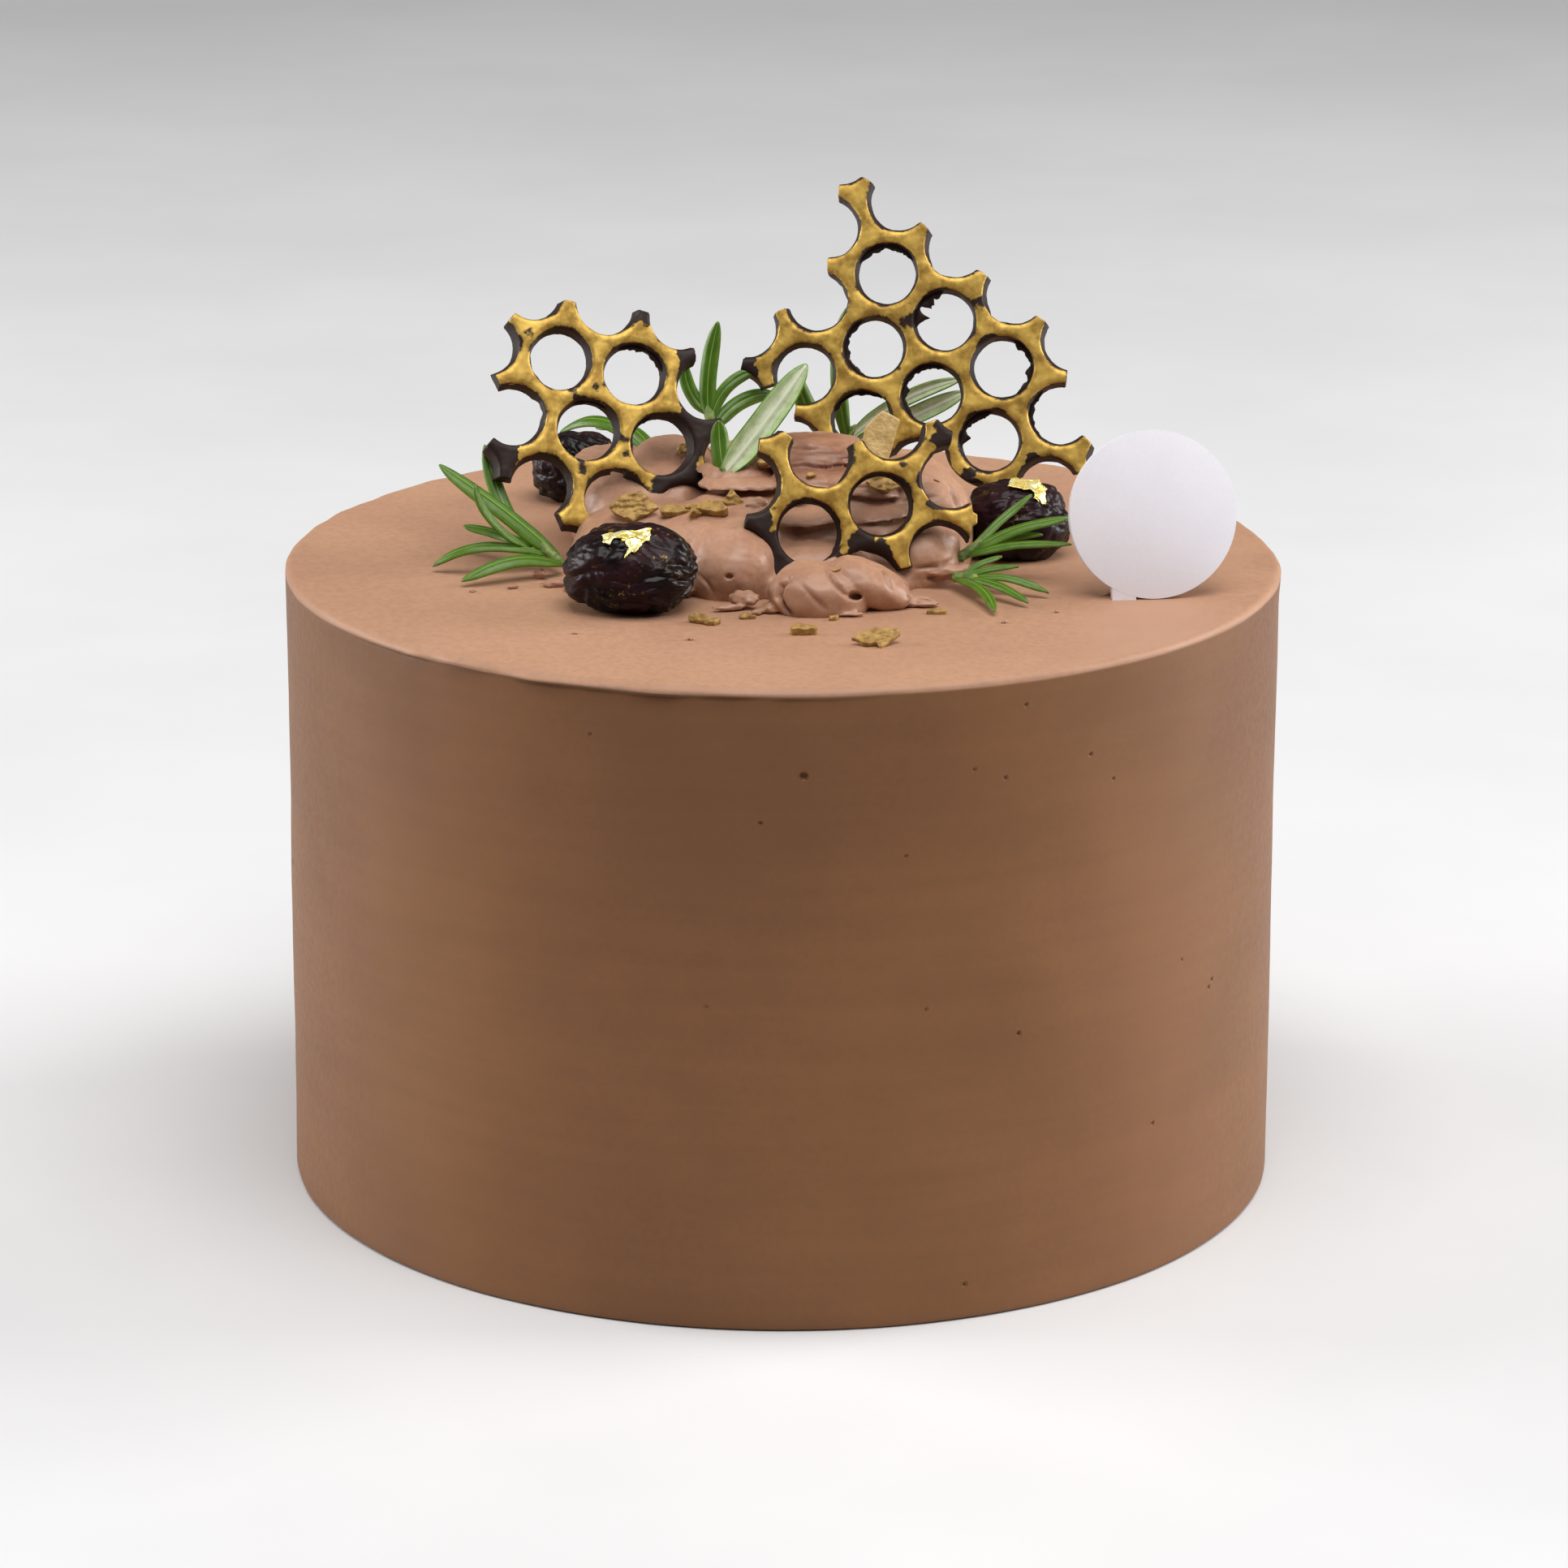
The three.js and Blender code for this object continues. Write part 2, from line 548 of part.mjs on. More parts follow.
// A broken plate of honeycomb: rings and arms of chocolate less the holes of the lattice
function plateSolid(plate, grow) {
  const back = -PLATE_THICKNESS - grow;
  const rings = plate.rings.map((ring) => ({ place: holePlace(...ring), reach: RING_REACH + grow }));
  const arms = plate.arms.map(([column, row, triangle, share]) => (
    { place: jointPlace(column, row, triangle), reach: share * HOLE_PITCH + grow }
  ));
  const chocolate = [
    ...rings.map(({ place, reach }) => slug(place, reach, reach, grow, back, HOLE_SEGMENTS)),
    ...arms.map(({ place, reach }) => slug(place, reach, reach, grow, back, ARM_SEGMENTS)),
  ];
  const taper = (HOLE_FRONT_RADIUS - HOLE_BACK_RADIUS) / PLATE_THICKNESS;
  const frontRadius = HOLE_FRONT_RADIUS + taper - grow;
  const backRadius = HOLE_BACK_RADIUS - taper - grow;
  const holes = [];
  for (let column = -LATTICE_RANGE; column <= LATTICE_RANGE; column += 1) {
    for (let row = -LATTICE_RANGE; row <= LATTICE_RANGE; row += 1) {
      const place = holePlace(column, row);
      const near = ({ place: middle, reach }) => middle.distanceTo(place) < reach + frontRadius;
      if (rings.some(near) || arms.some(near)) {
        holes.push(slug(place, frontRadius, backRadius, 1, -PLATE_THICKNESS - 1, HOLE_SEGMENTS));
      }
    }
  }
  const flat = toGeometry(cut(join(chocolate), holes).asOriginal());
  return toSolid(flat.applyMatrix4(platePlacement(plate)));
}

// The standing chip: an uneven four-sided flake of chocolate
function shardSolid({ at, width, height, thickness, lean, spin }) {
  const outline = new THREE.Shape([
    new THREE.Vector2(-0.4 * width, -0.5 * height),
    new THREE.Vector2(0.45 * width, -0.5 * height),
    new THREE.Vector2(0.5 * width, 0.42 * height),
    new THREE.Vector2(-0.1 * width, 0.5 * height),
    new THREE.Vector2(-0.5 * width, 0.2 * height),
  ]);
  const chip = new THREE.ExtrudeGeometry(outline, { depth: thickness, bevelEnabled: false });
  chip.rotateZ(degToRad(spin));
  chip.rotateX(degToRad(90 - lean));
  chip.translate(...at);
  return toSolid(chip);
}

// The round topper leans back a little; its stem runs out of the lower left of the disc
function topperSolid() {
  const { radius, thickness, lean, yaw, centre } = TOPPER;
  const disc = new THREE.CylinderGeometry(radius, radius, thickness, TOPPER_SEGMENTS);
  disc.rotateX(Math.PI / 2);
  const stem = new THREE.BoxGeometry(TOPPER_STEM.width, TOPPER_STEM.length, thickness);
  stem.translate(0, -radius, 0);
  stem.rotateZ(degToRad(TOPPER_STEM.turn));
  const placement = platePlacement({ at: centre, lean, yaw, spin: 0 });
  disc.applyMatrix4(placement);
  stem.applyMatrix4(placement);
  return cut(join([toSolid(disc), toSolid(stem)]), [blockBelow(CAKE_TOP + TOPPER_STEM.gap)]);
}

// Pieces are made from the bottom up, and each is cut clear of those it presses into
function buildCake() {
  const draw = seededDraw(FLAKE_SEED);
  const underCake = blockBelow(CAKE_TOP);
  const underLeaves = blockBelow(CAKE_TOP + GAP);

  const cakeFlakes = CAKE_FLAKES.map((flake) => flakeSolid(flake, CAKE_TOP, draw));
  const cake = join([cakeBody(), ...cakeFlakes]);

  const grownCherries = CHERRIES.map((cherry) => cherrySolid(cherry, GAP));
  const heapFlakes = HEAP_FLAKES.map((flake) => (
    flakeSolid(flake, heapLevel(flake.at) + HEAP_FLAKE_LIFT * flake.radius, draw)
  ));
  const heap = largestBody(join([cut(heapSolid(0), [underCake, ...grownCherries]), ...heapFlakes]));
  const grownHeap = heapSolid(GAP);

  const group = new THREE.Group();
  group.add(toMesh('cake', cake, CAKE_COLOUR, 0.7));
  group.add(toMesh('buttercream', heap, CREAM_COLOUR, 0.55));
  for (const cherry of CHERRIES) {
    const fruit = join([cut(cherrySolid(cherry, 0), [underCake]), ...goldScrap(cherry)]);
    group.add(toMesh(cherry.name, largestBody(fruit), CHERRY_COLOUR, 0.2));
  }
  for (const plate of PLATES) {
    const chocolate = cut(plateSolid(plate, 0), [grownHeap, ...grownCherries]);
    group.add(toMesh(plate.name, largestBody(chocolate), GILT_COLOUR, 0.4, 0.6));
  }
  const grownPlates = PLATES.map((plate) => plateSolid(plate, GAP));
  for (const sprig of SPRIGS) {
    const herb = cut(sprigSolid(sprig), [underLeaves, grownHeap, ...grownCherries, ...grownPlates]);
    group.add(toMesh(sprig.name, largestBody(herb), LEAF_COLOUR, 0.5));
  }
  const chip = cut(shardSolid(SHARD), [grownHeap, ...grownPlates]);
  group.add(toMesh('gilded_chip', largestBody(chip), CHIP_COLOUR, 0.5, 0.4));
  group.add(toMesh('round_topper', topperSolid(), TOPPER_COLOUR, 0.4));
  return group;
}

export default buildCake();
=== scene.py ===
"""Looks of a whole chocolate fudge cake: smooth icing, spooned buttercream, gilded chocolate
honeycomb, rosemary, sour cherries, gold leaf and a plain round topper."""

import itertools
import math
import random

import bpy
from mathutils import Matrix, Vector, noise
from mathutils.kdtree import KDTree


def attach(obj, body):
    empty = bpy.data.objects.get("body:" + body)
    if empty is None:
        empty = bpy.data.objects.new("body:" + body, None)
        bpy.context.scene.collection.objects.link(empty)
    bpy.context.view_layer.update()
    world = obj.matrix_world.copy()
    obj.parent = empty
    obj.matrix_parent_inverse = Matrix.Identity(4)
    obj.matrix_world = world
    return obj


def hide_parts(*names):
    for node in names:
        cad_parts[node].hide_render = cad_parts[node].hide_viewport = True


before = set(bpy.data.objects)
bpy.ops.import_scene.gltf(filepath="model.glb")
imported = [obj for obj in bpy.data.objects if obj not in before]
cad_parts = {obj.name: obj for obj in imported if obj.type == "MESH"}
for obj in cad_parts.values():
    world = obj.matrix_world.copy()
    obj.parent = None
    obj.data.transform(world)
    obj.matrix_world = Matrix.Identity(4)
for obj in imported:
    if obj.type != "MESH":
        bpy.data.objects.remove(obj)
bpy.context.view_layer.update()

NOISE_SEED = 2
noise.seed_set(NOISE_SEED)

# Sizes are in millimetres from the middle of the cake's base, with its front towards -Y
MM = 0.001

# Points closer than this are merged, and surfaces are looked for from these places
DOUBLES_GAP = 0.01
LOOK_DOWN_FROM = 200
LOOK_IN_FROM = -90

# How much one pass of smoothing evens out, and waves that stay where they are
SMOOTHING = 0.5
NO_SHIFT = Vector((0, 0, 0))

# The cake
CAKE_TOP = 98
CAKE_RADIUS = 77
CAKE_BASE_RADIUS = 77.5
RIM_ROUND = 1.0
FOOT_ROUND = 0.8
CAKE_SIDES = 300
SIDE_ROW = 1.7
RIM_ROW = 0.25
RIM_BAND = 2.5
TOP_ROW = 2.2
RIM_STEPS = 7
RIM_TOP_ROW = 0.3
RIM_TOP_BAND = 2.4
FOOT_STEPS = 4

# Unevenness of the icing: name, size of the lumps and strength
ICING_UNEVEN = [("icing_sweep", 48, 0.55), ("icing_ripple", 13, 0.13)]

# The scraped ledge along the front of the rim: middle and half width in degrees right of the front
LEDGE_MIDDLE = -21
LEDGE_HALF = 37
LEDGE_DEPTH = 0.6
LEDGE_DROP = 0.9
LEDGE_RISE = 0.3
LEDGE_FADE = 16
LEDGE_STRAY = 0.3
LEDGE_PITCH = 80
LEDGE_LAYER = 7
LEDGE_EVEN = 0.8
LIP_ROUND = 0.5
LIP_EDGE = 0.25
GROOVE_BELOW = 0.45
GROOVE_HALF = 0.3
GROOVE_SHARE = 0.35
RIDGE_INSIDE = 0.7
RIDGE_HALF = 0.5
RIDGE_DROPS = (0.6, 0.2)

# The scraper's uneven marks along the rim: where they begin and are full, inside the rim and below
# the top, how closely broad and fine ones follow each other, and how far they push out and up
MARKS_INSIDE = (6, 1)
MARKS_BELOW = (5, 0.6)
LIFT_BELOW = 4
WAVER_PITCH = 45
RIPPLE_PITCH = 190
RIPPLE_LAYER = 3
WAVER_PUSH = 0.28
RIPPLE_PUSH = 0.1
WAVER_LIFT = 0.4
RIPPLE_LIFT = 0.16

# Painted shade on the icing: heights where the side starts to darken under the rim and is darkest, and
# how far below the top the side's colour, painted darker and warmer than the top's, turns into that of
# the top
SIDE_SHADE = (45, 95)
RIM_TURN = (1.35, 0.85)

# Air pits in the icing of the side: degrees right of the front, height, radius and depth
SIDE_PITS = [
    (2.3, 85.2, 0.55, 0.7), (-2.3, 78.2, 0.32, 0.4), (21.0, 84.8, 0.26, 0.3), (24.7, 83.0, 0.3, 0.35),
    (35.6, 84.4, 0.28, 0.35), (38.9, 79.9, 0.26, 0.3), (27.1, 93.5, 0.3, 0.35), (13.4, 72.7, 0.26, 0.3),
    (56.7, 41.8, 0.3, 0.4), (57.4, 42.8, 0.3, 0.4), (50.9, 48.3, 0.24, 0.3), (15.8, 49.2, 0.28, 0.3),
    (26.7, 43.7, 0.32, 0.4), (-8.1, 50.2, 0.34, 0.25), (20.6, 5.6, 0.35, 0.4), (46.2, 24.0, 0.3, 0.35),
    (-20.9, 89.9, 0.28, 0.3), (95, 60, 0.4, 0.45), (140, 33, 0.45, 0.5), (171, 71, 0.4, 0.45),
    (-80, 52, 0.4, 0.4), (-121, 80, 0.45, 0.5), (-150, 27, 0.4, 0.4),
]
PIT_CUTS = 7
PIT_CUT_REACH = 3
PIT_REACH = 4
PIT_LIP = 0.14
PIT_LIP_AT = 1.5
PIT_LIP_HALF = 0.4

# Crumbs of icing on the cake: place over it, half sizes and turn in degrees
ICING_CRUMBS = [
    ((51.9, -24.3), (1.5, 0.7, 0.55), -20), ((49.6, -23.6), (0.7, 0.5, 0.4), 10),
    ((-13.6, -50.2), (0.5, 0.4, 0.3), 0), ((33.0, -39.6), (0.55, 0.4, 0.3), 30),
    ((-47.0, -23.0), (0.6, 0.4, 0.35), 50), ((41.0, -33.5), (0.45, 0.35, 0.25), 80),
    ((-30.6, -47.0), (0.45, 0.4, 0.25), 15), ((20.5, 44.0), (0.6, 0.5, 0.4), 15),
    ((-12.0, 50.0), (0.5, 0.4, 0.3), 45),
]
CRUMB_LIFT = 0.5

# Spoonfuls of buttercream that run into one another: centre, half sizes, turn in degrees, and how
# far the crown is drawn over
BROAD_SPOONFULS = [
    ((-7.4, -19.6, 100.8), (7.0, 8.8, 7.4), -12, (-0.6, 2.4)),
    ((-11.4, -13.6, 101.0), (8.4, 7.4, 7.2), 10, (0.4, 1.0)),
    ((3.2, -17.4, 100.8), (9.6, 5.4, 3.6), 6, (0.0, 0.8)),
    ((21.4, -1.4, 103.0), (7.8, 11.2, 10.8), 8, (-1.0, 2.0)),
    ((20.6, -13.0, 100.4), (6.8, 6.6, 6.2), -10, (0.4, 1.2)),
    ((-22.5, 9.0, 102.6), (11.0, 12.0, 8.6), 20, (1.5, 0.0)),
    ((-17.5, 14.6, 103.0), (8.4, 7.4, 10.7), 0, (0.0, 0.6)),
    ((-20.0, -7.5, 101.0), (12.6, 9.2, 7.0), -12, (1.0, 1.0)),
    ((-7.0, -9.0, 102.2), (9.5, 9.2, 7.2), 0, (0.0, 1.0)),
    ((7.0, -19.0, 98.4), (13.0, 9.0, 3.2), 0, (0.0, 0.0)),
    ((12.0, -6.4, 102.4), (12.0, 8.6, 7.4), 10, (0.0, 1.5)),
    ((-1.0, 4.0, 103.6), (12.0, 11.4, 8.6), -15, (1.0, 1.0)),
    ((4.0, 20.0, 102.4), (16.6, 10.8, 8.6), 8, (0.0, -1.0)),
]
BROAD_VOXEL = 0.6
BROAD_PASSES = 12
BOXY = 2.5

# The small spoonful at the front: its body, and the half that lies slanting over it, with its roll
FRONT_SPOONFULS = [
    ((5.4, -31.2, 99.8), (7.8, 6.2, 4.7), 2, (0.2, 0.6), 0),
    ((13.0, -29.8, 101.3), (6.4, 5.2, 3.3), 10, (0.0, 0.6), 24),
]

# Folds left by the palette knife, with a sharp edge underneath: centre, half sizes, then turn, tilt
# and roll in degrees
KNIFE_FOLDS = [
    ((4.4, 4.6, 115.0), (7.6, 5.2, 1.3), -5, -1, 0),
    ((4.4, 3.2, 113.8), (8.4, 5.2, 1.3), -3, -1, -1),
    ((2.5, 1.7, 112.6), (8.6, 5.2, 1.3), -2, -1, -2),
    ((5.9, -2.5, 111.2), (7.4, 5.0, 1.3), -4, -1, 1),
    ((5.6, -3.7, 109.9), (7.2, 5.0, 1.3), -4, -1, 2),
    ((12.2, -4.5, 111.2), (6.6, 5.0, 1.3), -7, -1, 1),
    ((13.0, -6.0, 109.7), (7.0, 5.0, 1.3), -5, -1, 2),
    ((14.8, -9.2, 107.2), (7.4, 5.2, 1.7), 10, -1, -9),
    ((2.6, -10.2, 106.4), (8.6, 5.2, 1.4), 2, -1, -3),
    ((-6.2, -3.0, 110.1), (6.8, 5.0, 1.3), 4, -1, 0),
    ((-7.5, 1.0, 111.4), (6.4, 5.0, 1.3), 6, -1, 0),
    ((-3.4, 9.6, 112.8), (8.0, 5.0, 1.2), 10, 4, 0),
    ((2.0, 17.4, 110.0), (11.0, 6.4, 1.4), -6, 6, 0),
    ((6.0, 25.0, 107.0), (11.0, 5.4, 1.4), 8, 12, 0),
    ((-26.4, 16.0, 109.6), (7.4, 5.0, 1.1), -24, 16, 0),
    ((7.9, -27.2, 103.5), (1.6, 1.4, 0.5), 14, 58, 0),
]

# Creases drawn into the front of the heap: points as seen from the front, half width and depth
CREAM_CREASES = [
    ([(6.4, 104.4), (8.1, 102.6), (9.7, 101.0)], 0.4, 0.7),
    ([(0.9, 103.4), (-0.3, 102.4), (-0.8, 100.8), (0.1, 99.1), (1.1, 98.4)], 0.5, 1.5),
    ([(3.1, 102.5), (4.8, 100.8), (6.5, 99.2)], 0.4, 0.3),
    ([(14.2, 104.6), (15.4, 103.2), (16.1, 101.7)], 0.4, 0.4),
    ([(25.7, 110.4), (26.4, 109.4), (26.8, 108.3)], 0.4, 0.7),
    ([(20.2, 101.0), (22.9, 101.4), (25.7, 101.9)], 0.35, 0.6),
    ([(20.2, 99.3), (22.9, 99.4), (25.6, 99.9)], 0.35, 0.6),
    ([(-12.6, 101.6), (-11.4, 100.6), (-10.6, 99.4)], 0.35, 0.4),
    ([(17.0, 108.8), (20.6, 109.8), (23.6, 110.0)], 0.4, 0.4),
]

# Lips, blobs and smears round the front and sides of the heap: centre, half sizes, turn, tilt
CREAM_SCRAPS = [
    ((-1.6, -34.6, 98.6), (1.7, 1.1, 0.9), 12, 0),
    ((-5.8, -31.6, 99.5), (2.6, 1.4, 0.9), -30, 26),
    ((-8.2, -33.6, 98.5), (2.6, 0.7, 0.5), 14, 0),
    ((-3.6, -35.2, 98.4), (1.5, 0.9, 0.6), 40, 0),
    ((9.2, -36.6, 98.4), (3.0, 0.8, 0.4), 3, 0),
    ((20.6, -30.2, 98.6), (3.4, 1.6, 0.9), -12, 0),
    ((25.8, -19.0, 100.4), (3.6, 1.5, 1.2), 10, -12),
    ((-4.2, -12.2, 109.6), (2.0, 1.2, 0.8), 20, 30),
    ((-34.4, -19.4, 98.6), (2.6, 1.1, 0.9), 20, 0),
    ((-37.4, -15.0, 98.8), (1.6, 1.0, 0.9), -30, 0),
    ((-32.0, -21.8, 98.7), (1.5, 1.3, 1.0), 60, 0),
    ((-15.4, -24.4, 98.8), (2.0, 2.6, 1.5), 10, 0),
    ((-41.0, -21.2, 98.4), (1.3, 0.6, 0.6), 20, 0),
]

# The shell-like curl at the right end of the front spoonful: centre, half length and half height
# of its ring, roll radius, tilt and turn
CURL = ((17.3, -32.3, 99.8), 1.9, 0.85, 0.5, 66, 14)

# Air pits in the buttercream: place, radius and depth
CREAM_PITS = [
    ((10.7, -35.6, 100.9), 0.62, 2.0),
    ((-8.0, -27.8, 101.8), 0.4, 0.7),
    ((23.4, -8.0, 112.2), 0.4, 0.5),
    ((22.6, -21.0, 104.4), 0.35, 0.5),
]
PIT_STRETCH = 1.5
PIT_INWARDS = (0.15, 1, -0.35)
PIT_STEEPNESS = 6
CREAM_VOXEL = 0.22
CREAM_PASSES = 1

# Unevenness of the buttercream: name, size of the lumps, strength, depth of detail, hard or soft
CREAM_UNEVEN = [
    ("cream_crest", 9, 0.7, 1, True),
    ("cream_swell", 4, 0.3, 2, False),
    ("cream_tear", 1.5, 0.12, 2, False),
]

# Painted shade over the middle of the heap, between the plates, laid on in streaky bands: its middle and
# half sizes
SHADED_HEAP_MIDDLE = (4, 1, 113)
SHADED_HEAP_HALF = (14, 10, 6.5)

# How fine and how uneven the buttercream is worked: grids are faces round and up, and waves are how
# strong and how closely set
CREAM_KEPT = 0.43
HEAP_SINK = 0.8
# Smoothing passes and depth for measuring the creases that get painted shade
CREASE_SHADE_PASSES = 24
CREASE_SHADE_DEPTH = 0.35
CREASE_STEPS = 40
CREASE_REACH = 3
CREASE_ENDS = 0.04
LUMP_GRID = (64, 40)
LUMP_SHIFT = 0.37
LUMP_WAVES = (0.08, 1.7)
FOLD_GRID = (96, 36)
FOLD_SHIFT = 0.61
FOLD_WAVES = (0.1, 1.6)
FOLD_FRAYS = (0.06, 4.5)
FOLD_SAG = (0.4, 1.2)
FOLD_BELLY = 0.35
SCRAP_FINENESS = 4
SCRAP_WAVES = (0.3, 1.8)
SCRAP_FRAYS = (0.14, 4)
CURL_GRID = (48, 20)

# Sour cherries: centre over the cake, half sizes, turn and seed of their wrinkles
CHERRIES = {
    "cherry_front": ((-22.8, -31.6), (9.8, 8.4, 6.8), -8, 11),
    "cherry_right": ((36.2, 1.4), (8.3, 7.6, 6.3), 15, 23),
    "cherry_back": ((-33.3, 37.6), (7.4, 7.0, 5.8), -20, 37),
}
CHERRY_SINK = 0.9
CHERRY_GRID = (180, 110)
CHERRY_BOXY = 2.35
CHERRY_CORE = 0.925

# Folds, creases and puckers of the cherries, as depth and pitch, on a ball warped and drawn first
CHERRY_WRINKLES = [(0.13, 1.5), (0.09, 3.1), (0.03, 7)]
CHERRY_WARP = (0.4, 1.1)
CHERRY_DRAWN = (0.8, 1, 1.3)
SEED_SLANT = 0.7
DENT_TOWARDS = (0.5, -0.6, 0.62)
DENT_REACH = 0.36
DENT_DEPTH = 0.1

# Scraps of gold leaf lying on the cherries: four corners over the cake and curl of the edge
GOLD_SCRAPS = [
    ("cherry_front", [(-26.8, -37.0), (-20.0, -36.0), (-19.6, -34.0), (-26.8, -34.8)], 0.4),
    ("cherry_front", [(-23.5, -39.1), (-22.0, -38.7), (-19.9, -35.2), (-21.5, -35.2)], 0.4),
    ("cherry_front", [(-22.8, -37.6), (-21.6, -37.2), (-20.6, -35.4), (-24.6, -36.0)], 0.0),
    ("cherry_right", [(34.6, -2.4), (39.4, -2.6), (39.9, 0.9), (35.4, 1.4)], 0.5),
    ("cherry_right", [(38.6, -3.8), (40.4, -3.4), (40.8, -0.4), (39.4, -0.2)], 0.4),
]
GOLD_GRID = (26, 16)
GOLD_THICKNESS = 0.14
GOLD_GAP = 0.12
GOLD_RAGGED = 0.55
GOLD_RAGGED_PITCH = 5
GOLD_SEED_STEP = 9
GOLD_CRUMPLE = 0.28
GOLD_CRUMPLE_PITCH = 0.9
GOLD_CURL_FROM = 0.62
GOLD_CURL_EVEN = 0.5
GOLD_PASSES = 2

# Chocolate honeycomb: holes on a triangular lattice, wider at the gilded front face
HOLE_PITCH = 11.8
HOLE_FRONT_RADIUS = 5.05
HOLE_BACK_RADIUS = 4.4
PLATE_THICKNESS = 3
RING_REACH = 0.62 * HOLE_PITCH
WEB_REACH = 0.45 * HOLE_PITCH
NEIGHBOUR_REACH = 1.1 * HOLE_PITCH
LATTICE_RANGE = 4
SLUG_SIDES = 48
BREAK_SIDES = 6
BREAK_TURN = 30
BREAK_SWAY = 9
PLATE_VOXEL = 0.22
PLATE_PASSES = 1
PLATE_UNEVEN = [("_break", 3.0, 0.26), ("_grain", 0.9, 0.04)]
CUT_PAST = 1
FACE_ROUND = 0.8
FACE_FALL = 0.22
FACE_BAND = (-1.2, -0.2)
SMUDGE_REACH = 1.4
SMUDGE_COVER = 0.36
RIM_GRIME = 0.56
GRIME_BAND = (0.9, 0.1)
GRIME_DRIFT = (-0.3, 0.3)
GRIME_PITCH = 0.3
GILT_FACING = (0.15, 0.55)
GILT_BAND = (-1.4, -0.9)
GILT_WAVES = (1.1, 0.5)
GILT_FRAYS = (0.5, 1.5)
PATCH_EDGE = (-1.1, 1.0)

# Films of chocolate in the holes: their ragged edge as strength, pitch and layer of each wave
FILM_POINTS = 90
FILM_RINGS = (0.9, 0.8)
FILM_RIM_BAND = 0.1
FILM_MIDDLE_BAND = 0.85
FILM_MIDDLE_STEP = 0.5
FILM_OVERLAP = 0.5
FILM_FOOT = 0.35
FILM_THICKNESS = 0.55
FILM_LEVEL = -0.62
FILM_TEAR = 0.75
FILM_FADE = 0.6
FILM_EVEN = 0.5
FILM_WAVES = [(0.6, 0.05, 0), (0.25, 0.14, 5)]
FILM_WARP = (0.15, 0.05, 2)

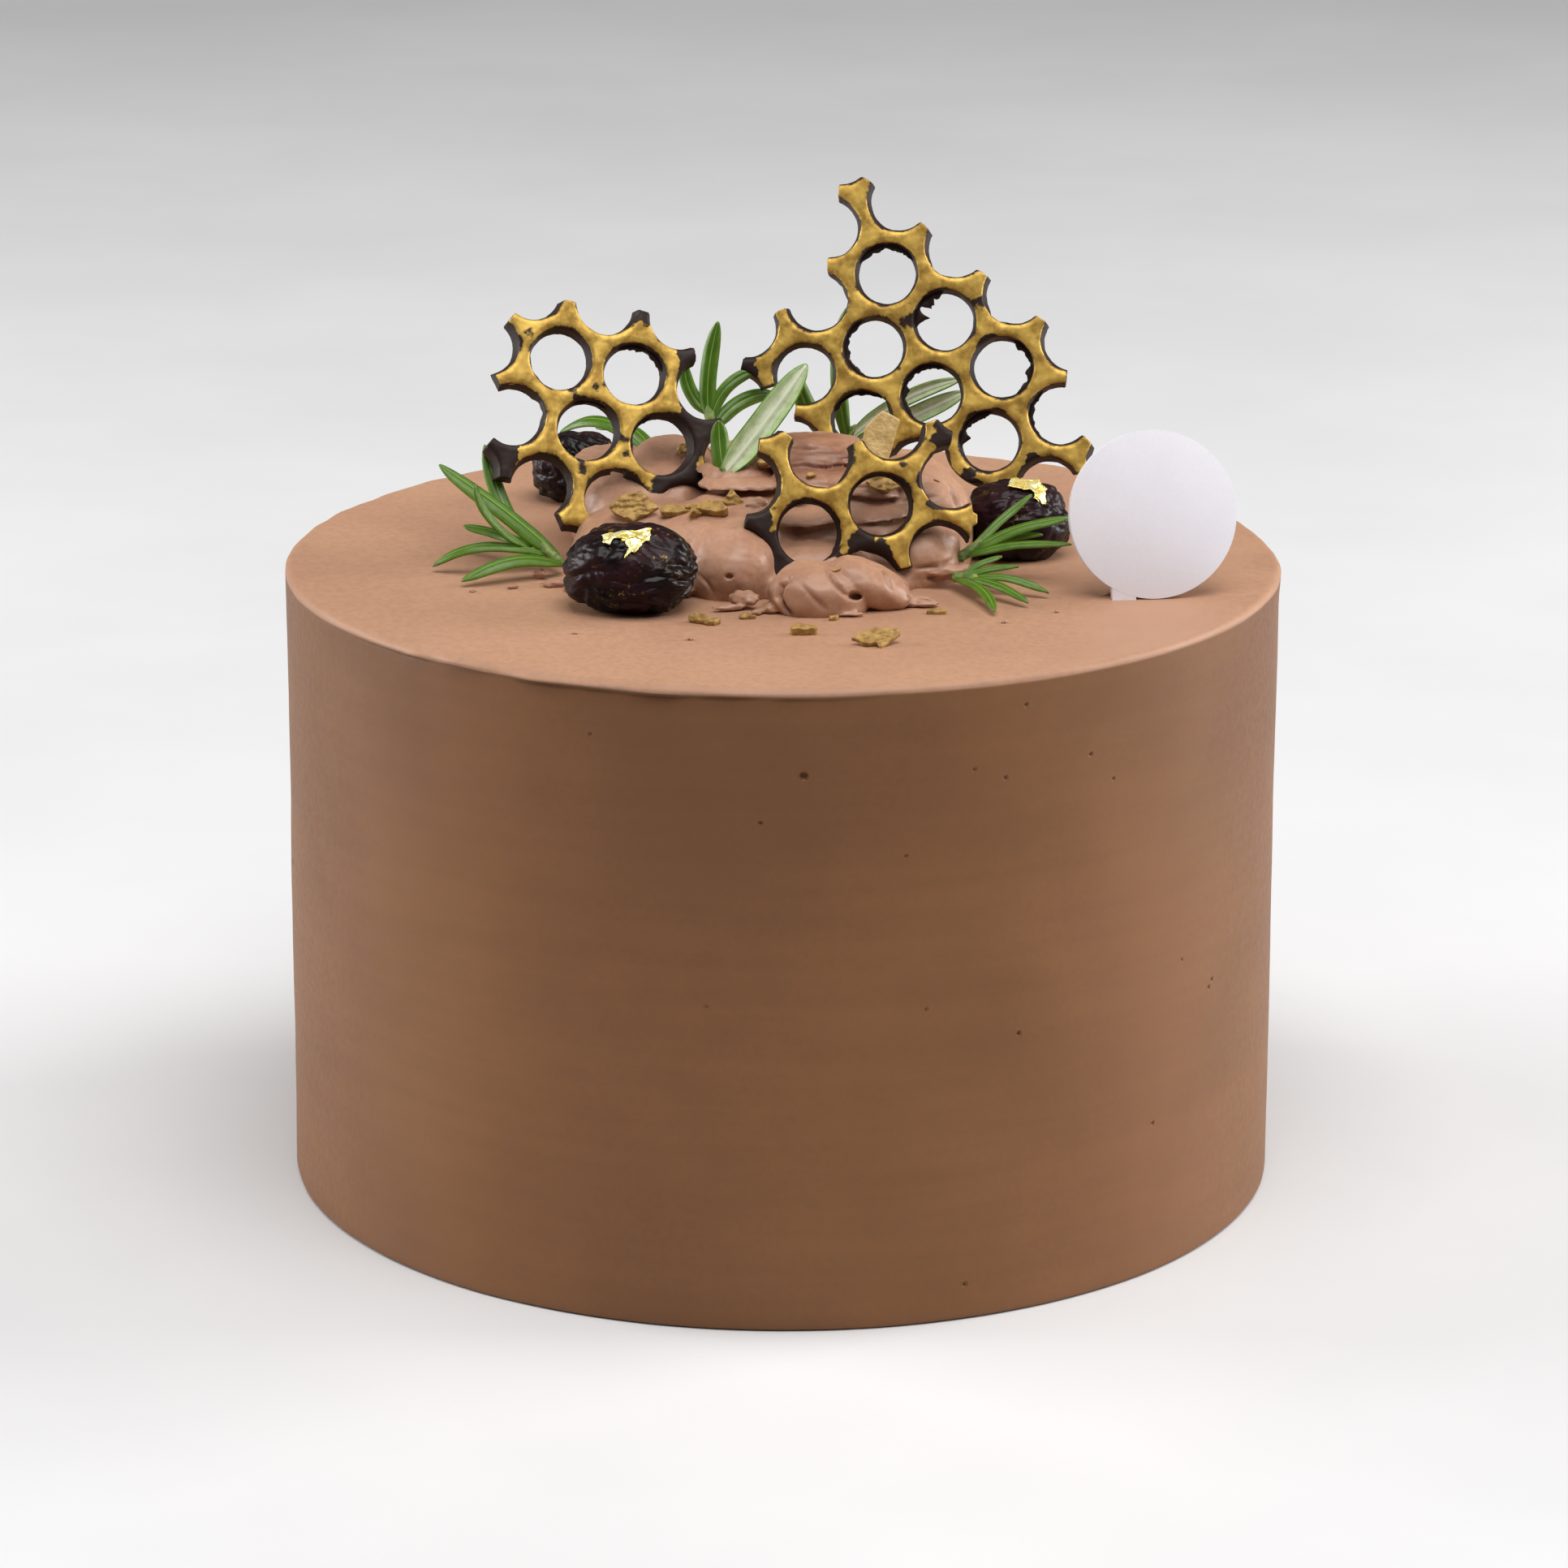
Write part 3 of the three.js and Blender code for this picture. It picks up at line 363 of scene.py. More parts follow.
# Each plate: place, lean, yaw and spin; complete holes; arms at the joints of three holes, as
# column, row, triangle and reach; bare patches as place in the plate and reach; films left in
# holes as hole, direction of the middle, half width and depth
PLATES = {
    "honeycomb_left": {
        "at": (-34.4, 5.4, 128.1), "lean": 25.7, "yaw": 15.3, "spin": -14.8,
        "rings": [(0, 0), (1, 0), (0, 1), (1, 1)],
        "arms": [
            (-1, -1, 1, 0.27), (0, -1, 0, 0.22), (-1, 0, 0, 0.34), (1, -1, 0, 0.29),
            (1, -1, 1, 0.3), (1, 0, 1, 0.31), (0, 1, 1, 0.4), (-1, 1, 1, 0.39),
            (-1, 2, 0, 0.22), (-1, 1, 0, 0.33), (-2, 1, 1, 0.3), (1, 1, 0, 0.42),
        ],
        "bare": [
            ((28.0, -16.4), 4.0), ((20.3, -11.5), 3.6), ((22.9, -7.0), 4.2), ((26.4, -7.0), 4.5),
            ((22.3, -16.3), 4.6),
            ((22.7, -3.7), 2.6), ((5.8, -16.7), 1.2), ((-8.2, 0.2), 1.9), ((11.8, 10.0), 2.2),
            ((20.6, 4.4), 2.7), ((-8.6, -18.4), 4.6), ((19.4, -17.4), 2.6), ((11.8, -10.8), 0.9),
            ((2.4, 9.6), 1.2), ((12.3, -12.9), 1.0), ((3.1, -5.4), 1.0), ((6.1, -3.5), 1.1),
            ((9.3, 5.4), 0.9),
            ((-5.6, 2.9), 1.2),
        ],
        "films": [
            ((0, 0), 200, 40, 0.5), ((1, 0), 60, 60, 1.6), ((0, 1), 80, 40, 0.8), ((1, 1), 150, 60, 0.7),
        ],
    },
    "honeycomb_back": {
        "at": (16.1, 22.6, 138.2), "lean": 20, "yaw": -5, "spin": -37.6,
        "rings": [(0, 0), (1, 0), (0, 1), (2, 0), (1, 1), (2, 1)],
        "arms": [
            (-1, -1, 1, 0.38), (-1, -1, 0, 0.24), (-1, 0, 0, 0.22), (0, -1, 0, 0.24),
            (1, -1, 0, 0.24), (2, -1, 0, 0.25), (2, -1, 1, 0.29), (2, 0, 1, 0.37), (3, 0, 0, 0.25),
            (-1, 1, 0, 0.31), (-2, 1, 1, 0.34), (-2, 2, 0, 0.27), (-1, 1, 1, 0.31),
            (-1, 2, 0, 0.33), (-1, 2, 1, 0.27), (0, 1, 1, 0.33), (0, 2, 0, 0.27),
        ],
        "bare": [
            ((7.2, -3.9), 1.3), ((5.8, -1.2), 0.9), ((14.3, 5.4), 1.2), ((19.4, 2.0), 1.3),
            ((-8.6, -26.4), 3.2),
            ((26.0, 10.4), 1.2), ((32.6, 5.6), 0.8), ((36.6, -8.6), 1.6), ((42.4, -0.2), 0.7),
            ((16.0, 8.8), 1.0), ((-5.0, 5.6), 0.5), ((11.6, -10.6), 0.4), ((24.0, -12.4), 0.5),
            ((23.8, -4.2), 0.8), ((10.4, 3.6), 0.7), ((30.6, -17.0), 1.7),
        ],
        "films": [
            ((0, 0), 95, 70, 1.9), ((1, 0), 145, 55, 3.4), ((0, 1), 185, 80, 1.6),
            ((2, 0), 10, 80, 1.6), ((1, 1), 150, 95, 1.7), ((2, 1), 140, 60, 2.4),
            ((0, 2), 110, 60, 1.0), ((3, 0), 180, 60, 1.2),
        ],
    },
    "honeycomb_front": {
        "at": (4, -21, 107.2), "lean": 21, "yaw": 6, "spin": 19.4,
        "rings": [(0, 0), (1, 0)],
        "arms": [
            (-1, 0, 0, 0.3), (0, -1, 0, 0.38), (0, -2, 1, 0.23), (-1, -1, 1, 0.25), (1, 0, 0, 0.6),
            (1, 0, 1, 0.1), (1, -1, 0, 0.29), (0, 0, 1, 0.3), (1, -1, 1, 0.36), (2, -1, 0, 0.2),
        ],
        "bare": [
            ((-8.0, 4.6), 3.4), ((-7.4, 0.4), 2.8), ((-7.4, -3.6), 3.6), ((-2.6, -7.0), 2.8),
            ((2.4, -6.8), 2.4),
            ((6.6, -5.0), 2.4), ((9.4, -6.6), 1.6), ((19.3, -2.7), 1.3), ((24.6, 6.2), 2.2),
            ((17.2, 4.4), 0.6),
            ((18.4, 1.2), 0.6), ((15.2, 7.4), 0.6), ((-3.6, 5.2), 0.7),
        ],
        "films": [((0, 0), 100, 50, 0.4), ((1, 0), 90, 60, 0.5)],
    },
}

# Rosemary leaf
LEAF_GRID = (8, 14)
LEAF_THICKNESS = 0.42
LEAF_ROLL = 0.6
LEAF_GROOVE = 0.22
LEAF_GROOVE_HALF = 0.2
LEAF_ROLL_POWER = 2.6
LEAF_SPREAD = 1.12
LEAF_WAVES = (0.12, 0.35)
LEAF_FOOT_START = 0.08
LEAF_FOOT_LENGTH = 0.3
LEAF_FOOT_POWER = 0.6
LEAF_TIP_FROM = 0.6
LEAF_TIP_SHARE = 0.97
STEM_RADIUS = 0.8
STEM_GRID = (12, 10)
STEM_KNOTS = (0.12, 1.4)
STEM_END = 0.14
STEM_TIP = 0.02
LYING = (0, -0.3, 1)
STANDING = (0, -1, 0.3)
TURNED_AWAY = (0, 1, -0.3)

# Rosemary sprigs: stem, then leaves from foot through a middle point to the tip, width and facing
SPRIGS = {
    "sprig_left": (
        [(-33.6, -12.4, 99.7), (-37, -9.6, 101.6), (-41, -7, 104.4)],
        [
            ((-34.3, -10, 100.5), (-43, -8, 107.6), (-52.9, -6, 114), 3.4, LYING),
            ((-40.4, -7, 104), (-43.6, -4, 108.5), (-46.2, 0, 115.7), 2.6, LYING),
            ((-39, -10, 102), (-44, -12, 106.6), (-46.9, -13, 112.4), 2.4, LYING),
            ((-38.5, -8, 101.6), (-44.7, -2.6, 102.6), (-49.8, 0, 102.8), 2.2, LYING),
            ((-36.4, -10.4, 101), (-46.4, -12, 102.8), (-54, -11.4, 99.1), 2.4, LYING),
            ((-33.6, -12.8, 100), (-40.9, -17, 102), (-49, -20.7, 99.2), 3.0, LYING),
        ],
    ),
    "sprig_right": (
        [(26.6, -15, 101.2), (28.6, -13.6, 102.4), (31, -12.8, 103.8)],
        [
            ((28.4, -13.6, 102.4), (33.4, -9.8, 106.6), (38.2, -7.6, 110), 1.6, LYING),
            ((28, -14, 102.2), (35.6, -13.6, 106.2), (43.6, -14.2, 107.9), 2.5, LYING),
            ((27.6, -14.4, 101.8), (35.4, -15.6, 104.2), (44, -18, 104.7), 1.9, LYING),
            ((29.4, -13.2, 102.8), (35, -12.6, 104.6), (39.6, -14.8, 105.4), 1.7, LYING),
        ],
    ),
    "sprig_low": (
        [(25.6, -20.4, 100), (27.6, -21.4, 100.1), (29.6, -22.6, 100.2)],
        [
            ((26, -20.4, 100), (29.8, -19.4, 102), (33.4, -18.6, 103), 1.4, LYING),
            ((26.6, -20.8, 100), (31, -20.8, 101.6), (35.8, -21.6, 102.1), 1.5, LYING),
            ((26, -20.8, 100), (29.8, -28.4, 100.6), (31.6, -36.6, 99), 1.9, LYING),
            ((27, -21.2, 100), (32, -26.4, 100.8), (36.9, -31.6, 99), 1.8, LYING),
            ((27.6, -21.4, 100), (34, -23.4, 101), (40.3, -25.8, 99), 1.8, LYING),
        ],
    ),
    "sprig_middle": (
        [(-9.1, -3, 110.9), (-9.2, -2.4, 111.6), (-9.2, -1.8, 112.4)],
        [
            ((-9.2, -2.4, 111.6), (-3, 0.6, 119), (3.6, 4, 127.6), 4.2, TURNED_AWAY),
            ((-9.2, -2.2, 111.8), (-9.8, -0.6, 115.6), (-10, 0.8, 119.4), 2.8, STANDING),
        ],
    ),
    "sprig_back": (
        [(-9, 14, 106), (-10.6, 15, 112), (-12, 16.6, 118.2)],
        [
            ((-11.8, 16, 116.6), (-11.8, 18, 123.4), (-10.3, 20, 131), 2.6, STANDING),
            ((-11.8, 16.4, 117), (-14.8, 18, 120.4), (-15.6, 19, 124.6), 2.2, STANDING),
            ((-11.4, 15.8, 116), (-8.6, 18, 121.2), (-3, 20, 123.4), 2.0, STANDING),
            ((-11, 15.4, 114.6), (-6.6, 18.6, 118.4), (-1, 22, 118.8), 2.4, STANDING),
        ],
    ),
    "sprig_far": (
        [(-20, 18.6, 108), (-20.4, 20, 108.8), (-21, 21.4, 109.6)],
        [
            ((-20.6, 20.4, 109), (-28.6, 25.6, 114), (-36, 30, 110.8), 3.0, LYING),
            ((-20.6, 21, 109.2), (-24.4, 28.6, 112), (-30.4, 35, 110.4), 2.6, LYING),
        ],
    ),
    "sprig_behind": (
        [(9.4, 33, 105), (10.6, 34, 108), (11.6, 35, 111)],
        [
            ((10.4, 34, 108), (8.8, 35, 120), (10.4, 37, 130), 2.6, STANDING),
            ((10.4, 34, 108.6), (19, 36, 114.6), (28.7, 37, 118), 2.4, TURNED_AWAY),
            ((10.8, 34.4, 107.8), (20.9, 36.6, 112), (29.4, 38, 115.7), 3.0, TURNED_AWAY),
            ((10, 33.6, 107.4), (4.4, 34, 113), (2.2, 34, 119.4), 3.0, STANDING),
        ],
    ),
}

# Flakes of gilded chocolate: outline, place over the cake, radius, thickness, turn and tilt in degrees
FLAKE_SEED = 5
FLAKE_OUTLINES = {
    "lozenge": [(-0.97, 0), (-0.42, 0.51), (0.29, 0.66), (1.03, -0.07), (0.55, -0.36), (-0.03, -0.66),
                (-0.68, -0.33)],
    "slab": [(-0.98, 0.12), (-0.5, 0.46), (0.4, 0.42), (1, 0), (0.8, -0.3), (0.2, -0.42), (-0.9, -0.36)],
    "diamond": [(0.03, 1), (0.4, 0.48), (0.9, -0.09), (0.65, -0.65), (0.21, -0.95), (-0.35, -0.59),
                (-0.91, -0.03), (-0.35, 0.41)],
    "wedge": [(-0.97, 0), (-0.55, 0.29), (-0.04, 0.59), (0.89, 0.47), (0.97, 0.23), (0.13, -0.59),
              (-0.04, -0.35), (-0.47, -0.41), (-0.72, -0.12)],
}
FLAKE_VOXEL = 0.17
FLAKE_CREASE = 48
FLAKE_UNEVEN = (0.95, 1.05)
FLAKE_SPREAD = 40
FLAKE_WANDER = (0.5, 0.9)
FLAKE_GRAIN = 0.34
FLAKE_GRAIN_PITCH = (0.4, 1.7)
FLAKE_LUMPS = 0.16
FLAKE_LUMP_PITCH = 0.8
FLAKE_TEAR = (0.1, 0.1, 0.05)
FLAKE_TEAR_PITCH = 1.3
FLAKE_TEAR_SQUASH = 0.6
CAKE_FLAKES = [
    ("wedge", (13.7, -52.6), 3.7, 0.7, 4, 26),
    ("slab", (3.1, -46.6), 2.1, 1.3, 4, 8),
    ("slab", (-12.2, -40.4), 1.9, 0.8, -28, 30),
    ("slab", (23.0, -34.6), 1.6, 0.7, 0, 0),
    ("wedge", (-10.4, -41.6), 1.4, 0.8, 10, 10),
    ("lozenge", (7.6, -38.4), 1.0, 0.7, 40, 0),
    ("slab", (-5.2, -37.8), 1.3, 0.6, 10, 12),
]
HEAP_FLAKES = [
    ("lozenge", (-23.0, -10.6), 4.0, 0.8, 2, 46),
    ("slab", (-16.6, -11.8), 2.3, 1.0, -8, 18),
    ("slab", (-10.6, -14.0), 2.7, 1.3, -24, 30),
    ("diamond", (-7.9, -11.2), 2.0, 0.6, 6, 68),
    ("slab", (-3.0, -1.6), 1.5, 0.8, 40, 35),
    ("lozenge", (15.4, -9.4), 3.4, 0.9, 20, 50),
    ("slab", (6.6, 10.4), 1.6, 0.8, 70, 20),
    ("slab", (4.2, -6.0), 0.9, 0.6, 30, 40),
    ("wedge", (-13.6, -14.2), 1.6, 1.2, 60, 30),
    ("slab", (-14.2, -11.0), 1.0, 0.7, 20, 30),
    ("slab", (8.0, -33.0), 0.7, 0.4, 15, 30),
    ("slab", (-15.8, 11.0), 1.7, 0.8, 60, 50),
]

# How deep flakes are sunk, and how far tilted ones are lifted for their size
CAKE_FLAKE_SINK = 0.1
CAKE_FLAKE_LIFT = 0.45
HEAP_FLAKE_LIFT = 0.28

# The broad chip standing in the buttercream behind the front plate, and its unevenness: name, size
# of the lumps and strength
CHIP = {"at": (14.8, 9.6, 113.9), "width": 5, "height": 10, "thickness": 1.1, "lean": 22, "spin": -14}
CHIP_OUTLINE = [(-0.4, -0.5), (0.45, -0.5), (0.5, 0.42), (-0.1, 0.5), (-0.5, 0.2)]
CHIP_UNEVEN = ("chip_break", 2.2, 0.3)
CHIP_PASSES = 3

# The plain round topper
TOPPER = {"radius": 12.75, "thickness": 1.8, "lean": 15, "yaw": 6, "centre": (55.8, -21.8, 110.2)}
TOPPER_STEM = {"width": 3.6, "left": 4.7, "drop": 12.4, "length": 5, "slimmer": 0.98}
TOPPER_SIDES = 128
TOPPER_BEVEL = 0.3
TOPPER_BEVEL_STEPS = 3
TOPPER_BEVEL_ANGLE = 50
TOPPER_CREASE = 40
TOPPER_SINK = 1

# Camera
CAMERA_DISTANCE = 850.6
CAMERA_AIM = (0.28, 0, 60.93)
CAMERA_PITCH = 16.695
CAMERA_ROLL = 0.2
CAMERA_LENS = 123.91
SENSOR = 36
CLIP_START = 10

# Floor, sky and lamps, in metres: each lamp's name, place, aim, size and power in watts
FLOOR_SIZE = 8
SKY_COLOUR = (0.96, 0.98, 1, 1)
SKY_STRENGTH = 0.115
LAMP_COLOUR = (1, 0.98, 0.95)
LAMPS = [
    ("overhead", (0.22, -0.6, 2.15), (0, 0.1, 0), 1.8, 55),
    ("left_side", (-1.2, 0.25, 0.5), (0, 0, 0.08), 0.7, 13.4),
    ("right_side", (1.2, 0.25, 0.5), (0, 0, 0.08), 0.7, 16),
]


# Small tools for working on pieces

def to_metres(point):
    return Vector(point) * MM


def smooth_step(low, high, value):
    share = min(1, max(0, (value - low) / (high - low)))
    return share * share * (3 - 2 * share)


def bell(offset, half_width):
    """One in the middle, falling off softly to both sides."""
    return math.exp(-(offset / half_width) ** 2)


def waves(point, shift, strength, pitch):
    """A smooth random swelling, as strong and as closely set as wanted."""
    return strength * noise.noise(point * pitch + shift)


def fuller(point, power):
    """A point of the unit ball pushed out, so that the ball gets fuller corners."""
    return point * sum(abs(part) ** power for part in point) ** (-1 / power)


def sized(point, half):
    return Vector([part * size for part, size in zip(point, half)])


def pick(piece):
    """Makes one piece the only one selected, and active."""
    bpy.ops.object.select_all(action="DESELECT")
    piece.select_set(True)
    bpy.context.view_layer.objects.active = piece


def joined(pieces):
    """Joins pieces into the first of them."""
    pick(pieces[0])
    for piece in pieces:
        piece.select_set(True)
    bpy.ops.object.join()
    return pieces[0]


def thrown_away(piece):
    pick(piece)
    bpy.ops.object.delete()


def finish_with(piece, kind, **settings):
    """Adds one modifier to a piece and applies it."""
    pick(piece)
    bpy.ops.object.modifier_add(type=kind)
    modifier = piece.modifiers[-1]
    for setting, value in settings.items():
        setattr(modifier, setting, value)
    bpy.ops.object.modifier_apply(modifier=modifier.name)


def fused(piece, voxel, passes):
    """Fuses overlapping lumps of a piece into one skin and softens it."""
    finish_with(piece, "REMESH", mode="VOXEL", voxel_size=voxel * MM)
    if passes:
        finish_with(piece, "SMOOTH", factor=SMOOTHING, iterations=passes)


def roughened(piece, name, size, strength, depth=2, hard=False):
    """Raises and sinks the surface of a piece in lumps of one size."""
    texture = bpy.data.textures.new(name, "CLOUDS")
    texture.noise_scale = size * MM
    texture.noise_depth = depth
    texture.noise_type = "HARD_NOISE" if hard else "SOFT_NOISE"
    finish_with(piece, "DISPLACE", texture=texture, strength=strength * MM, mid_level=0.5,
                texture_coords="LOCAL", direction="NORMAL")


def placed(piece, place):
    """Puts the place of a piece into its mesh."""
    piece.matrix_world = place
    pick(piece)
    bpy.ops.object.transform_apply(location=True, rotation=True, scale=True)


def spun(angle, axis):
    return Matrix.Rotation(math.radians(angle), 4, axis)


def turned_place(at, turn, tilt=0, roll=0):
    return Matrix.Translation(to_metres(at)) @ spun(turn, "Z") @ spun(tilt, "X") @ spun(roll, "Y")


def upright_place(at, lean, yaw, spin):
    """Stands a flat piece up with its upper face to the front, leaning back."""
    return Matrix.Translation(to_metres(at)) @ spun(yaw, "Z") @ spun(90 - lean, "X") @ spun(spin, "Z")


def edit(piece):
    """Opens a piece for editing, with all of it selected."""
    pick(piece)
    bpy.ops.object.mode_set(mode="EDIT")
    bpy.ops.mesh.select_all(action="SELECT")


def edited():
    bpy.ops.object.mode_set(mode="OBJECT")


def merged(piece):
    """Merges doubled points and turns all faces outwards."""
    edit(piece)
    bpy.ops.mesh.remove_doubles(threshold=DOUBLES_GAP * MM)
    bpy.ops.mesh.normals_make_consistent(inside=False)
    edited()


def cut_below(piece, level):
    """Cuts off what a piece has below a level, and closes the cut."""
    edit(piece)
    bpy.ops.mesh.bisect(plane_co=(0, 0, level * MM), plane_no=(0, 0, 1),
                        clear_inner=True, use_fill=True)
    edited()


def unit_ball(grid):
    bpy.ops.mesh.primitive_uv_sphere_add(segments=grid[0], ring_count=grid[1], radius=1)
    return bpy.context.object


def unit_sheet(grid):
    bpy.ops.mesh.primitive_grid_add(x_subdivisions=grid[0], y_subdivisions=grid[1], size=2)
    return bpy.context.object


def slab(corners, thickness):
    """A flat slab of even thickness with the given corners, in metres."""
    bpy.ops.mesh.primitive_circle_add(vertices=len(corners), radius=MM, fill_type="NGON")
    piece = bpy.context.object
    for vertex, corner in zip(piece.data.vertices, corners):
        vertex.co = corner
    edit(piece)
    bpy.ops.mesh.extrude_region_move(TRANSFORM_OT_translate={"value": (0, 0, thickness * MM)})
    bpy.ops.mesh.select_all(action="SELECT")
    bpy.ops.mesh.normals_make_consistent(inside=False)
    edited()
    return piece


def level_under(piece, x, y):
    """Height of a piece's surface over a place on the cake, in millimetres."""
    hit, where, _, _ = piece.ray_cast(to_metres((x, y, LOOK_DOWN_FROM)), Vector((0, 0, -1)))
    return where.z / MM if hit else CAKE_TOP


def served(piece, name, finishes, nodes=(), by_angle=None):
    """Names a finished piece, gives it its finishes, and hangs it on the frame."""
    pick(piece)
    piece.name = name
    piece.data.name = name
    if by_angle is None:
        bpy.ops.object.shade_smooth()
    else:
        bpy.ops.object.shade_smooth_by_angle(angle=math.radians(by_angle))
    if len(piece.data.materials) == 0:
        for finish in finishes:
            piece.data.materials.append(finish)
    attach(piece, "root")
    if nodes:
        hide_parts(*nodes)
    bpy.ops.object.select_all(action="DESELECT")


# Small tools for making finishes

def colour_of(code):
    """A colour from its six-digit code, as the shader wants it."""
    parts = [int(code[place:place + 2], 16) / 255 for place in (0, 2, 4)]
    linear = [part / 12.92 if part <= 0.04045 else ((part + 0.055) / 1.055) ** 2.4 for part in parts]
    return (*linear, 1)


def feed(tree, socket, value):
    if isinstance(value, bpy.types.NodeSocket):
        tree.links.new(value, socket)
    else:
        socket.default_value = value


def fill(tree, sockets, **inputs):
    """Gives or links several sockets, named with underscores for their spaces."""
    for name, value in inputs.items():
        feed(tree, sockets[name.replace("_", " ")], value)


def step(tree, kind, settings=None, **inputs):
    """Adds one node with its settings, and gives or links its inputs."""
    added = tree.nodes.new(kind)
    for setting, value in (settings or {}).items():
        setattr(added, setting, value)
    fill(tree, added.inputs, **inputs)
    return added


def blend_colours(tree, share, first, second, blend="MIX"):
    mixer = tree.nodes.new("ShaderNodeMix")
    mixer.data_type = "RGBA"
    mixer.blend_type = blend
    feed(tree, mixer.inputs[0], share)
    feed(tree, mixer.inputs[6], first)
    feed(tree, mixer.inputs[7], second)
    return mixer.outputs[2]


def reckon(tree, operation, first, second=0.5, third=0.5):
    maths = tree.nodes.new("ShaderNodeMath")
    maths.operation = operation
    feed(tree, maths.inputs[0], first)
    feed(tree, maths.inputs[1], second)
    feed(tree, maths.inputs[2], third)
    return maths.outputs[0]


def between(tree, value, low, high, to_low=0, to_high=1):
    """Maps a value from one range to another and keeps it there."""
    ranged = step(tree, "ShaderNodeMapRange", {"clamp": True, "interpolation_type": "SMOOTHSTEP"},
                  Value=value, From_Min=low, From_Max=high, To_Min=to_low, To_Max=to_high)
    return ranged.outputs["Result"]


def speckle(tree, where, scale, detail=3, roughness=0.5):
    spots = step(tree, "ShaderNodeTexNoise", Vector=where, Scale=scale, Detail=detail,
                 Roughness=roughness)
    return spots.outputs["Fac"]


def stretched(tree, where, scale, turn=(0, 0, 0)):
    return step(tree, "ShaderNodeMapping", Vector=where, Scale=scale, Rotation=turn).outputs["Vector"]


def darkened(tree, colour, factors):
    return blend_colours(tree, 1.0, colour, (*factors, 1), "MULTIPLY")


def two_tone(tree, value, low, high, first, second):
    """Two colours, by their codes, blended as a value runs from low to high."""
    return blend_colours(tree, between(tree, value, low, high), colour_of(first), colour_of(second))


def new_finish(name):
    """A material with its surface shader and the coordinates of the piece."""
    finish = bpy.data.materials.new(name)
    finish.use_nodes = True
    tree = finish.node_tree
    surface = tree.nodes["Principled BSDF"]
    where = tree.nodes.new("ShaderNodeTexCoord").outputs["Object"]
    return finish, tree, surface, where


def raised(tree, surface, height, strength, distance):
    bump = step(tree, "ShaderNodeBump", Height=height, Strength=strength, Distance=distance * MM)
    feed(tree, surface.inputs["Normal"], bump.outputs["Normal"])


def new_group(name, inputs, outputs):
    group = bpy.data.node_groups.new(name, "ShaderNodeTree")
    for label, kind in inputs:
        group.interface.new_socket(name=label, in_out="INPUT", socket_type="NodeSocket" + kind)
    for label, kind in outputs:
        group.interface.new_socket(name=label, in_out="OUTPUT", socket_type="NodeSocket" + kind)
    return group, group.nodes.new("NodeGroupInput").outputs, group.nodes.new("NodeGroupOutput").inputs


def use_group(tree, group, **inputs):
    user = tree.nodes.new("ShaderNodeGroup")
    user.node_tree = group
    fill(tree, user.inputs, **inputs)
    return user.outputs


# Effects that several finishes share

def creamy_mottle_group():
    """Soft blotches of colour with fine grain: for icing, buttercream and card."""
    group, given, out = new_group(
        "creamy_mottle",
        [("Vector", "Vector"), ("Pale", "Color"), ("Deep", "Color"), ("Blotch Scale", "Float"),
         ("Grain Scale", "Float"), ("Grain Share", "Float")],
        [("Colour", "Color"), ("Grain", "Float")],
    )
    blotch = speckle(group, given["Vector"], scale=given["Blotch Scale"], detail=4, roughness=0.55)
    grain = speckle(group, given["Vector"], scale=given["Grain Scale"], detail=2, roughness=0.6)
    share = between(group, blotch, 0.3, 0.7)
    soft = blend_colours(group, share, given["Deep"], given["Pale"])
    darker = between(group, grain, 0.35, 0.62, 1, 0)
    shade = reckon(group, "MULTIPLY", darker, given["Grain Share"])
    deep = darkened(group, soft, (0.62, 0.58, 0.55))
    fill(group, out, Colour=blend_colours(group, shade, soft, deep), Grain=grain)
    return group


def brushed_gilt_group():
    """Gold dust brushed over dark chocolate: thin in hollows, streaked and speckled."""
    group, given, out = new_group(
        "brushed_gilt",
        [("Vector", "Vector"), ("Cover", "Float"), ("Gold", "Color"), ("Old Gold", "Color"),
         ("Chocolate", "Color"), ("Streak Scale", "Float")],
        [("Colour", "Color"), ("Gilt", "Float"), ("Roughness", "Float"), ("Height", "Float")],
    )
    streak = speckle(group, given["Vector"], scale=given["Streak Scale"], detail=4, roughness=0.65)
    fine = speckle(group, given["Vector"], scale=2600, detail=2, roughness=0.6)
    worn = reckon(group, "MULTIPLY_ADD", streak, 0.55, -0.275)
    thin = reckon(group, "MULTIPLY_ADD", fine, 0.3, -0.15)
    cover = reckon(group, "ADD", reckon(group, "ADD", given["Cover"], worn), thin)
    gilt = between(group, cover, 0.36, 0.58)
    tone = between(group, streak, 0.32, 0.66)
    gold = blend_colours(group, tone, given["Old Gold"], given["Gold"])
    fill(group, out, Colour=blend_colours(group, gilt, given["Chocolate"], gold), Gilt=gilt,
         Roughness=between(group, reckon(group, "ADD", gilt, thin), 0, 1, 0.5, 0.47),
         Height=reckon(group, "ADD", streak, reckon(group, "MULTIPLY", fine, 0.4)))
    return group


